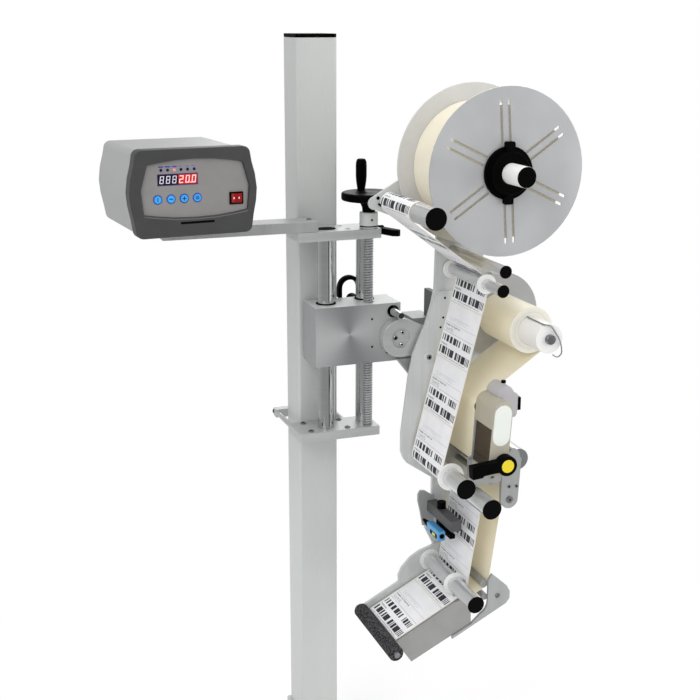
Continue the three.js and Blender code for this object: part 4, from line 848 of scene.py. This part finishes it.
def figure(bundle, char, u, w, wide, tall, thick, slot, inset=0.15):
    """One digit whose lower left corner is (u, w)."""
    half = tall / 2
    bars = {
        "a": (0, tall - thick, wide, tall), "b": (wide - thick, half, wide, tall),
        "c": (wide - thick, 0, wide, half), "d": (0, 0, wide, thick), "e": (0, 0, thick, half),
        "f": (0, half, thick, tall), "g": (0, half - thick / 2, wide, half + thick / 2)}
    for k in SEGMENTS[char]:
        a0, b0, a1, b1 = bars[k]
        left, low, right, high = a0 + inset, b0 + inset, a1 - inset, b1 - inset
        corners = ((left, low), (right, low), (right, high), (left, high))
        bundle.prism([(u + x + z * SLANT, w + z) for x, z in corners], front, 5.5, 5.3, slot)


b = Bundle("display_figures", [digit_white, digit_red], "stand", "display_window")
for i, char in enumerate("888"):
    figure(b, char, 27.6 + DIGIT_PITCH * i, 91.2, 7.2, 13.2, 1.6, 0)
for i, char in enumerate("200"):
    figure(b, char, 61.8 + DIGIT_PITCH * i, 91.2, 7.4, 13.2, 1.9, 1)
b.prism([(82.0, 91.0), (83.7, 91.0), (83.9, 92.7), (82.2, 92.7)], front, 5.5, 5.3, 1)
b.done()

# Buttons with an upright bar, a level bar, a cross, and a cross in a ring
BUTTON_W = 65.0
BUTTON_PITCH = 23.3
FACE = 3.79
PRINT = FACE - 0.12
# The bars of each symbol: half width and half height
SYMBOLS = [[(0.9, 3.4)], [(3.5, 0.9)], [(3.5, 0.9), (0.9, 3.5)], []]


def symbol_ring(bundle, u, arm=1.9, half=0.45, sides=28):
    outer = ring(3.5, sides, (u, BUTTON_W))
    inner = ring(2.7, sides, (u, BUTTON_W))
    for k in range(sides):
        q = (k + 1) % sides
        bundle.prism([outer[k], outer[q], inner[q], inner[k]], front, FACE, PRINT, 1)
    for sign in (1, -1):
        corners = ((-arm - half, (half - arm) * sign), (half - arm, (-arm - half) * sign),
                   (arm + half, (arm - half) * sign), (arm - half, (arm + half) * sign))
        bundle.prism([(u + x, BUTTON_W + z) for x, z in corners], front, FACE, PRINT, 1)


for i in range(4):
    name = f"button_{i + 1}"
    u = 23.6 + BUTTON_PITCH * i
    b = skin(name, [button_blue, icon_dark, ring_blue], "button_blue")
    b.turned(panel(u, 7.2, BUTTON_W), out, [
        (0, 0), (7.8, 0), (7.8, 2.7), (7.4, 3.2), (6.1, 3.35), (0, 3.4)], 48, [0, 2, 2, 2, 0])
    for wide, tall in SYMBOLS[i]:
        b.block((u - wide, BUTTON_W - tall, FACE), (u + wide, BUTTON_W + tall, PRINT), front, 1)
    if i == 3:
        symbol_ring(b, u)
    b.done()

dress("rocker_switch", [rocker_red, black], 0.7, lambda c, n: 0 if n.dot(out) > 0.3 else 1)
b = Bundle("rocker_dots", [dot_white], "rocker")
for u in (158.6, 169.0):
    b.pin(panel(u, 2.95, 60.5), out, 1.7, 0.3)
b.done()


# Knuckle, bracket and chassis of the head
def bracket_pick(c, n):
    local = c - PIVOT
    if local.x > 62 and local.z > 33:
        return 1
    return 2 if n.z > 0.8 else 0


dress("tilt_knuckle", [satin], 1.0)
dress("rear_bracket", [bracket_grey, bracket_dark, plate_grey], 1.2, bracket_pick)
dress("chassis_plate", [satin_light], 0.7)
dress("unwind_arm", [satin_light], 0.7)

CHASSIS_FRONT = -33.5
b = Bundle("head_screws", [bolt_steel, black, black_gloss, chrome, satin_light], "head")
for x, z in ((3.6, 10.4), (-10.6, 0.6), (2.2, -13.4)):
    b.screw(head(x, -15.1, z), TO_FRONT, 4.4, 2.6, "hex", 3)
# A bolt on a washer
x, z = 51.9, -38.3
b.turned(head(x, CHASSIS_FRONT, z), TO_FRONT, [
    (0, -0.2), (11, -0.2), (11, 1.6), (10, 2.4), (0, 2.4)], 36, [4] * 4)
b.screw(head(x, CHASSIS_FRONT - 2.4, z), TO_FRONT, 5.2, 2.0)
# Open holes, drawn as flat black discs: painted shade inside them
for x, z, r in ((83.4, 76, 2.3), (80.5, 37.6, 2.3), (75.5, 18.7, 2.3), (61.2, -340.1, 2.0), (-55.9, 274, 3.4),
                (62.3, -443.3, 1.8)):
    b.pin(head(x, CHASSIS_FRONT - 0.02, z), TO_FRONT, r, 0.1, slot=1)
# Black half-round piece beside the feed roller
b.prism(ring(7.5, 20, (-50, 266), math.radians(200), math.pi), on_head, CHASSIS_FRONT + 0.2,
        CHASSIS_FRONT - 9, 2)
for x, z in ((118, -447), (134, -470)):
    b.screw(head(x, CHASSIS_FRONT, z), TO_FRONT, 3.6, 1.5, "slot")
b.done()

# Supply reel
reel_x, reel_z = axle(REEL)
web_back = PIVOT.y + WEB_BACK
web_front = PIVOT.y + WEB_FRONT
back, n = depth("reel_shaft")
b = skin("reel_shaft", [white_plastic, black], "white_plastic", body="reel")
# The shaft's open end is a black disc sunk 0.6 mm: painted shade inside the tube
b.turned((reel_x, back, reel_z), TO_FRONT, [
    (0, 0), (18.5, 0), (18.5, n - 0.8), (18.3, n), (18.2, n), (18.1, n - 0.6), (0, n - 0.6)], 64,
    [0, 0, 0, 0, 1, 1])
b.done()
low, high = span("flange_rear")
rim = high.y - 3
b = skin("flange_rear", [disc_rear], "disc_plastic")
b.turned((reel_x, 0, reel_z), TO_BACK, [
    (18.8, low.y), (37.7, low.y), (37.7, rim), (149.2, rim), (150, rim + 0.8), (150, high.y - 0.8),
    (149.2, high.y), (18.8, high.y), (18.8, low.y)], 128)
b.done()


def roll(node, side, where, y0, y1, core, sides):
    """A wound roll between y0 and y1: its edges in the side's material, its face in liner."""
    x, z = axle(where)
    r = where[2]
    b = skin(node, [side, liner], "liner_paper")
    b.turned((x, 0, z), TO_BACK, [
        (core, y0), (r - 0.3, y0), (r, y0 + 0.4), (r, y1 - 0.4), (r - 0.3, y1), (core, y1), (core, y0)],
        sides, [0, 1, 1, 1, 0, 0])
    b.done()


roll("label_roll", roll_edge, REEL, web_front, web_back, 38, 128)
dress("flange_front", [disc], 0.0, angle=20)


def on_reel(x, z, y):
    return Vector((reel_x + x, y, reel_z + z))


nut_back = span("hub_nut")[1].y
b = skin("hub_nut", [black, black_gloss], "black_plastic")
b.turned((reel_x, nut_back, reel_z), TO_FRONT, [
    (18.8, 0), (46.2, 0), (47, 0.8), (47, 5.2), (46.2, 6), (39.6, 6), (38.6, 7), (38, 14.8), (36.8, 16),
    (33, 16), (32.2, 15.2), (26.5, 15.2), (25.7, 16), (19.6, 16), (18.8, 15.2), (18.8, 0)], 96)
for sign in (1, -1):
    wing = [(x, z * sign) for x, z in ((-8.5, 34), (-8.5, 52), (-6.5, 55), (6.5, 55), (8.5, 52), (8.5, 34))]
    b.prism(wing, on_reel, nut_back - 0.3, nut_back - 10.8, 0)
    b.prism([(x * 0.6, z * 0.94 + sign * 1.5) for x, z in wing], on_reel, nut_back - 10.6, nut_back - 11.0, 1)
b.done()


# Rollers
def roller(name, collars):
    """A steel roller with a black end cap; collars are (y from, y to, radius)."""
    x, z = axle(ROLLERS[name])
    r = ROLLERS[name][2]
    back, n = depth("roller_" + name)
    b = skin("roller_" + name, [roller_steel, white_plastic, black_cap], "polished_roller")
    b.turned((x, back, z), TO_FRONT, [
        (0, 0), (r, 0), (r, n - 1.6), (r + 1.2, n - 1.2), (r + 1.2, n - 0.4), (r + 0.8, n), (0, n)], 64,
        [0, 0, 0, 2, 2, 2])
    for y0, y1, wide in collars:
        long = y1 - y0
        b.turned((x, PIVOT.y + y1, z), TO_FRONT, [
            (r - 0.3, 0), (wide - 0.6, 0), (wide, 0.6), (wide, long - 0.6), (wide - 0.6, long),
            (r - 0.3, long)], 64, [1] * 5)
    b.done()


COLLARS = {
    "tray": ((-183.5, -177.5, 18), (-36.5, -30.5, 18)), "lower": ((-182.5, -176.5, 26),),
    "beak": ((-37.7, -34.0, 22), (-155, -149, 22)),
}
for name in ROLLERS:
    roller(name, COLLARS.get(name, ()))

back, n = depth("drive_roller")
x, z = axle(DRIVE)
r = DRIVE[2]
b = skin("drive_roller", [rubber, roller_steel], "roller_rubber")
b.turned((x, back, z), TO_FRONT, [
    (0, 0), (8, 0), (8, 5.2), (r - 0.6, 5.2), (r, 6), (r, n - 0.8), (r - 0.6, n), (9, n), (0, n)], 64,
    [1, 1, 0, 0, 0, 0, 0, 1])
b.done()
back, n = depth("pressure_roller")
c = mid("pressure_roller")
r = span("pressure_roller")[1].x - c.x
b = skin("pressure_roller", [dark_aluminium, roller_steel], "polished_roller")
b.turned((c.x, back, c.z), TO_FRONT, [
    (0, 0), (r - 0.5, 0), (r, 0.5), (r, n - 0.6), (r - 0.6, n), (0, n)], 64, [1, 1, 1, 0, 0])
b.done()

# Rewinder: an axle stub in front, then the core, and a flange behind the web
x, z = axle(REWINDER)
low, high = span("rewind_hub")
core_y = low.y + 8
flange_y = web_back + 1.5
b = skin("rewind_hub", [white_plastic, bolt_steel, disc], "white_plastic")
b.turned((x, 0, z), TO_BACK, [
    (0, low.y), (8.2, low.y), (9, low.y + 0.8), (9, core_y), (26.2, core_y), (27, core_y + 0.8),
    (27, flange_y), (83.4, flange_y), (84, flange_y + 0.6), (84, flange_y + 2.4), (83.4, flange_y + 3),
    (27, flange_y + 3), (27, high.y), (0, high.y)], 96, [1] * 3 + [0] * 3 + [2] * 5 + [0] * 2)
b.done()
low, high = span("liner_roll")
roll("liner_roll", rewind_edge, REWINDER, low.y, high.y, 27.3, 96)
dress("wire_clip", [screw_steel], 0.0, angle=60)

# Drive unit
drive_front = PIVOT.y - 250.5
drive_back = PIVOT.y - 176.5
# Levels from the pivot, and the lean of the housing's side
WINDOW_FOOT = -200.5
WINDOW_TOP = -121.5
LOWER_BLOCK_TOP = -211
LEAN = 0.0658
CAP_FRONT = drive_front - 18.15


def drive_pick(c, n):
    """The oval plate on the front, the window in the leaning side, and the grey lower block."""
    local = c - PIVOT
    if c.y < drive_front - 0.05:
        return 1
    if n.x < -0.8 and WINDOW_FOOT < local.z < WINDOW_TOP and local.x > 87 + (local.z + 88.5) * LEAN:
        return 2
    if local.z < LOWER_BLOCK_TOP or local.x < 77.4:
        return 3
    return 0


def motor_pick(c, n):
    local = c - PIVOT
    return 1 if local.x > 148.2 or local.z > -50.2 else 0


dress("drive_housing", [housing_beige, oval_white, brown_glass, plate_grey], 1.4, drive_pick,
      38, 3)
dress("drive_motor", [motor_grey, black], 1.6, motor_pick, 35, 3)
dress("nip_arm", [plate_grey], 0.8)
dress("nip_lever", [black, yellow], 0.7, lambda c, n: 1 if c.y < CAP_FRONT else 0, 35)
b = Bundle("drive_screws", [bolt_steel, black], "head")
b.screw((254.8, drive_back - 8, 761.5), TO_FRONT, 4.2, 1.6)
b.done()
b = Bundle("nip_arm_screws", [bolt_steel, black], "nip_arm")
arm_front = span("nip_arm")[0].y
for x, z in ((290.5, 736.6), (306.4, 735.5)):
    b.screw((x, arm_front, z), TO_FRONT, 3.4, 1.4)
x, z = 292.5, 710.0
b.turned((x, arm_front, z), TO_FRONT, [(0, 0), (7.2, 0), (7.2, 1.4), (6.4, 2.0), (0, 2.0)], 32)
b.screw((x, arm_front - 2.0, z), TO_FRONT, 3.6, 1.0)
b.done()

# Strip of labels: it rides just clear of these axles and passes each on the side that the sign gives
RIDE = 0.6
LABEL_PITCH = 108.0
PEEL_EDGE = (-66, -551, 1.5)
BEAK_HEEL = (115, -462, 8)
# The u of a place at the edge where nothing is printed
PLAIN = 0.005
stations = [
    (*REEL, -1), (*ROLLERS["feed"], 1), (*ROLLERS["tray"], -1), (*ROLLERS["lower"], 1),
    (*ROLLERS["cross"], -1), (*ROLLERS["beak"], -1), (*PEEL_EDGE, 1), (*BEAK_HEEL, 1),
    (*DRIVE, 1), (*ROLLERS["guide"], -1), (*ROLLERS["turn"], -1), (*REWINDER, 1)]
stations = [(x, z, r + RIDE, s) for x, z, r, s in stations]
# The places of four of them in this list
TRAY, LOWER, BEAK, PEEL = 2, 3, 5, 6
runs = []
for (x0, z0, r0, s0), (x1, z1, r1, s1) in zip(stations, stations[1:]):
    slope = math.atan2(z1 - z0, x1 - x0)
    runs.append(slope - math.asin((s1 * r1 - s0 * r0) / math.hypot(x1 - x0, z1 - z0)))
path, tags = [], []
for i, (x, z, r, s) in enumerate(stations):
    enter = runs[i - 1] if i else runs[0]
    leave = runs[i] if i < len(runs) else runs[i - 1]
    sweep = (leave - enter) % math.tau if s > 0 else -((enter - leave) % math.tau)
    start = enter - math.pi / 2 + (math.pi if s < 0 else 0)
    n = max(1, int(abs(sweep) / math.radians(7)) + 1)
    for k in range(n + 1):
        a = start + sweep * k / n
        p = (x + r * math.cos(a), z + r * math.sin(a))
        if not path or math.hypot(p[0] - path[-1][0], p[1] - path[-1][1]) > 0.1:
            path.append(p)
            tags.append(i)
length = [0.0]
for a, q in zip(path, path[1:]):
    length.append(length[-1] + math.hypot(q[0] - a[0], q[1] - a[1]))

# Two labels meet at this point of the run from tray to lower roller, so the print's v is whole there
MEETING = Vector((67.0, -32.3))
WHOLE = 40
best = None
for i in range(len(path) - 1):
    a, q = Vector(path[i]), Vector(path[i + 1])
    t = max(0, min(1, (MEETING - a).dot(q - a) / (q - a).length_squared))
    d = (a + (q - a) * t - MEETING).length
    if tags[i] in (TRAY, LOWER) and (best is None or d < best[0]):
        best = (d, length[i] + (q - a).length * t)
start_v = WHOLE - best[1] / LABEL_PITCH
# Shifts that put the labels before the tray and from the beak on where the photo shows them
first_beak = tags.index(BEAK) + 1
first_tray = tags.index(TRAY) + 1
first_peel = tags.index(PEEL)
beak_shift = 0.985 - (start_v + length[first_peel] / LABEL_PITCH) % 1
feed_shift = 0.45
phase = []
for i, d in enumerate(length):
    shift = beak_shift if i >= first_beak else feed_shift if i < first_tray else 0
    phase.append(start_v + d / LABEL_PITCH + shift)


def strip(name, first, last, lift, thick, mats, node=None):
    """A ribbon along these points of the path, whose middle lies lift mm to the right of travel."""
    verts, faces, slots, uvs = [], [], [], []
    for i in range(first, last + 1):
        behind, p, ahead = (Vector(path[k]) for k in (max(first, i - 1), i, min(last, i + 1)))
        after = (ahead - p if i < last else p - behind).normalized()
        before = (p - behind).normalized() if i > first else after
        m = before + after
        k = 2 / m.length
        m = m.normalized()
        normal = Vector((m.y, -m.x)) * k
        for d in (lift + thick / 2, lift - thick / 2):
            at = p + normal * d
            verts += [head(at.x, y, at.y) for y in (WEB_BACK, WEB_FRONT)]
    count = last - first + 1
    for k in range(count - 1):
        q = k * 4
        v0, v1 = phase[first + k], phase[first + k + 1]
        faces += [(q, q + 1, q + 5, q + 4), (q + 2, q + 6, q + 7, q + 3)]
        uvs += [(0, v0), (1, v0), (1, v1), (0, v1), (0, v0), (0, v1), (1, v1), (1, v0)]
        for c0, c1 in ((0, 2), (1, 3)):
            faces.append((q + c0, q + c1, q + c1 + 4, q + c0 + 4))
            uvs += [(PLAIN, v0)] * 2 + [(PLAIN, v1)] * 2
        slots += [0, 1, 2, 2]
    for q in (0, (count - 1) * 4):
        faces.append((q, q + 1, q + 3, q + 2))
        uvs += [(PLAIN, 0)] * 4
        slots.append(2)
    place(name, mats, "head", "liner_paper", node, 0.0, 40, verts, faces, slots, uvs)


strip("strip_carrier", 0, len(path) - 1, 0.0, 0.34, [liner_back, liner, liner], "label_web")
strip("strip_labels", 1, first_peel, 0.26, 0.16, [label, label, liner])

# Beak
dress("beak_body", [beak_grey, satin_light], 0.6,
      lambda c, n: 1 if c.y - PIVOT.y > WEB_BACK else 0)
dress("beak_side_front", [plate_grey], 0.7)
b = Bundle("beak_screws", [bolt_steel, black], "head")
x, z = axle((141.5, -488.7))
b.screw((x, span("beak_side_front")[0].y, z), TO_FRONT, 5.2, 1.6, "slot")
for x, z in ((38, -566), (22, -573)):
    b.screw(head(x, -171.0, z), TO_FRONT, 2.4, 0.9)
b.done()
back, n = depth("foam_roller")
x, z = axle((-85.8, -551.3))
b = skin("foam_roller", [foam, dark_aluminium], "foam")
b.turned((x, back, z), TO_FRONT, [
    (0, 0), (13.6, 0), (14.5, 1), (14.5, n - 7.2), (13.4, n - 6), (5.5, n - 6), (5.5, n - 0.8), (4.7, n),
    (0, n)], 64, [0] * 5 + [1] * 3)
b.done()


# Sensor
def holder_pick(c, n):
    local = c - PIVOT
    if local.y > -33.8:
        return 0
    return 2 if local.z < -358.3 else 1


dress("sensor_holder", [plate_grey, charcoal, black], 0.8, holder_pick)
dress("sensor_knob", [black])

low, high = span("photocell")
c = mid("photocell")
b = skin("photocell", [cell_blue, black], "blue_plastic", 0.8)
b.prism(rounded(low.x, high.x, low.z, high.z, 2.6), upright, high.y - 32, low.y + 3.0)
b.turned((c.x, high.y, c.z), TO_FRONT, [(0, 0), (2.4, 0), (5.6, 18), (6.2, 32.5), (0, 32.5)], 28, [1] * 4)
b.pin((c.x, low.y + 3.5, c.z), TO_FRONT, 5, 2.3, 28, 1)
b.done()
b = Bundle("photocell_trim", [black, lime], "head")
b.block((low.x - 0.35, low.z + 3, low.y + 10), (low.x + 0.3, high.z - 9, low.y + 42), upright, 0)
b.block((low.x - 0.6, low.z + 4.5, low.y + 18), (low.x - 0.2, high.z - 10.5, low.y + 31), upright, 1)
b.done()

# Floor: what the camera sees of it fades to pure white away from the middle
bpy.ops.mesh.primitive_plane_add(size=3.6, location=(0, 0, 0))
floor = bpy.context.object
floor.name = "floor"
s = Shader("floor_white")
s.set(base=(0.9, 0.9, 0.9, 1), rough=0.9, spec=0.1)
at = s.add("TexCoord").outputs["Object"]
far = s.add("VectorMath", {0: at}, operation="LENGTH").outputs["Value"]
seen = s.add("LightPath").outputs["Is Camera Ray"]
white = s.add("Emission", {0: (1, 1, 1, 1)}).outputs[0]
fac = s.times(seen, s.remap(far, 0.3, 1.0, 0.3, 1.1))
pick = s.add("MixShader", {0: fac, 1: s.bsdf.outputs[0], 2: white})
s.put(s.t.nodes["Material Output"].inputs["Surface"], pick.outputs[0])
floor.data.materials.append(s.m)
floor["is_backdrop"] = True

# Camera, as fitted to straight edges in the photo: its place in mm and the three directions of its picture
EYE = Vector((-733.80, -2222.66, 1590.0))
RIGHT_WAY = Vector((0.9390477, -0.34377984, 0.00219979))
DOWN_WAY = Vector((-0.08834837, -0.24750085, -0.96485123))
AHEAD = Vector((0.33224085, 0.90584698, -0.26278749))
data = bpy.data.cameras.new("camera")
data.sensor_width = 36
data.lens = 62.398
data.clip_end = 60
camera = linked("camera", data)
turned = Matrix((RIGHT_WAY, -DOWN_WAY, -AHEAD)).transposed().to_4x4()
camera.matrix_world = Matrix.Translation(EYE * MM) @ turned
scene.camera = camera


def lamp(name, at, target, size, watts):
    d = bpy.data.lights.new(name, "AREA")
    d.shape = "RECTANGLE"
    d.size, d.size_y = size
    d.energy = watts
    o = linked(name, d)
    o.location = at
    o.rotation_euler = (Vector(target) - Vector(at)).to_track_quat("-Z", "Y").to_euler()


lamp("key", (-2.4, -2.6, 3.4), (0.1, -0.2, 1.0), (1.8, 1.8), 44)
lamp("fill", (2.6, -2.2, 2.0), (0.1, -0.2, 0.9), (1.6, 2.4), 22)
lamp("top", (0.2, -0.3, 4.0), (0.1, -0.2, 1.0), (2.4, 2.4), 24)
lamp("rim", (1.2, 2.6, 2.6), (0, 0, 1.2), (1.6, 1.6), 16)

# World: white to the camera; to the part a studio, banded by height and, in reflections, all round
world = bpy.data.worlds.new("studio")
scene.world = world
world.use_nodes = True
world.node_tree.nodes.clear()
w = Tree(world.node_tree)


def grey(tone):
    return (tone, tone, tone, 1)


def ramp(value, stops):
    """Greys along value, from (place, tone) pairs in order."""
    n = w.add("ValToRGB", {0: value})
    elements = n.color_ramp.elements
    for element, (place, tone) in zip(elements, (stops[0], stops[-1])):
        element.position = place
        element.color = grey(tone)
    for place, tone in stops[1:-1]:
        elements.new(place).color = grey(tone)
    return n.outputs[0]


x, y, z = w.parts("Generated")
by_height = ramp(w.remap(z, 0, 1, -1, 1), (
    (0, 0.42), (0.28, 0.5), (0.33, 0.95), (0.5, 0.95), (0.62, 0.9), (0.68, 0.5), (0.76, 0.55), (0.84, 1),
    (1, 0.95)))
around = ramp(w.remap(w.math("ARCTAN2", y, x), 0, 1, -math.pi, math.pi), (
    (0, 0.34), (0.1, 0.3), (0.2, 0.3), (0.29, 0.32), (0.31, 0.03), (0.335, 0.03), (0.355, 1), (0.46, 1),
    (0.56, 0.6), (0.66, 0.9), (0.72, 0.4), (0.8, 0.5), (0.9, 0.4), (1, 0.36)))
rays = w.add("LightPath").outputs
tone = w.mix(1.0, by_height, w.mix(rays["Is Glossy Ray"], grey(0.82), around), "MULTIPLY")
room = w.add("Background", {0: tone, 1: 1.2}).outputs[0]
backdrop = w.add("Background", {0: grey(1), 1: 1.0}).outputs[0]
mixer = w.add("MixShader", {0: rays["Is Camera Ray"], 1: room, 2: backdrop})
w.add("OutputWorld", {0: mixer.outputs[0]})
scene.view_settings.view_transform = "Standard"

low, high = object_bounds()
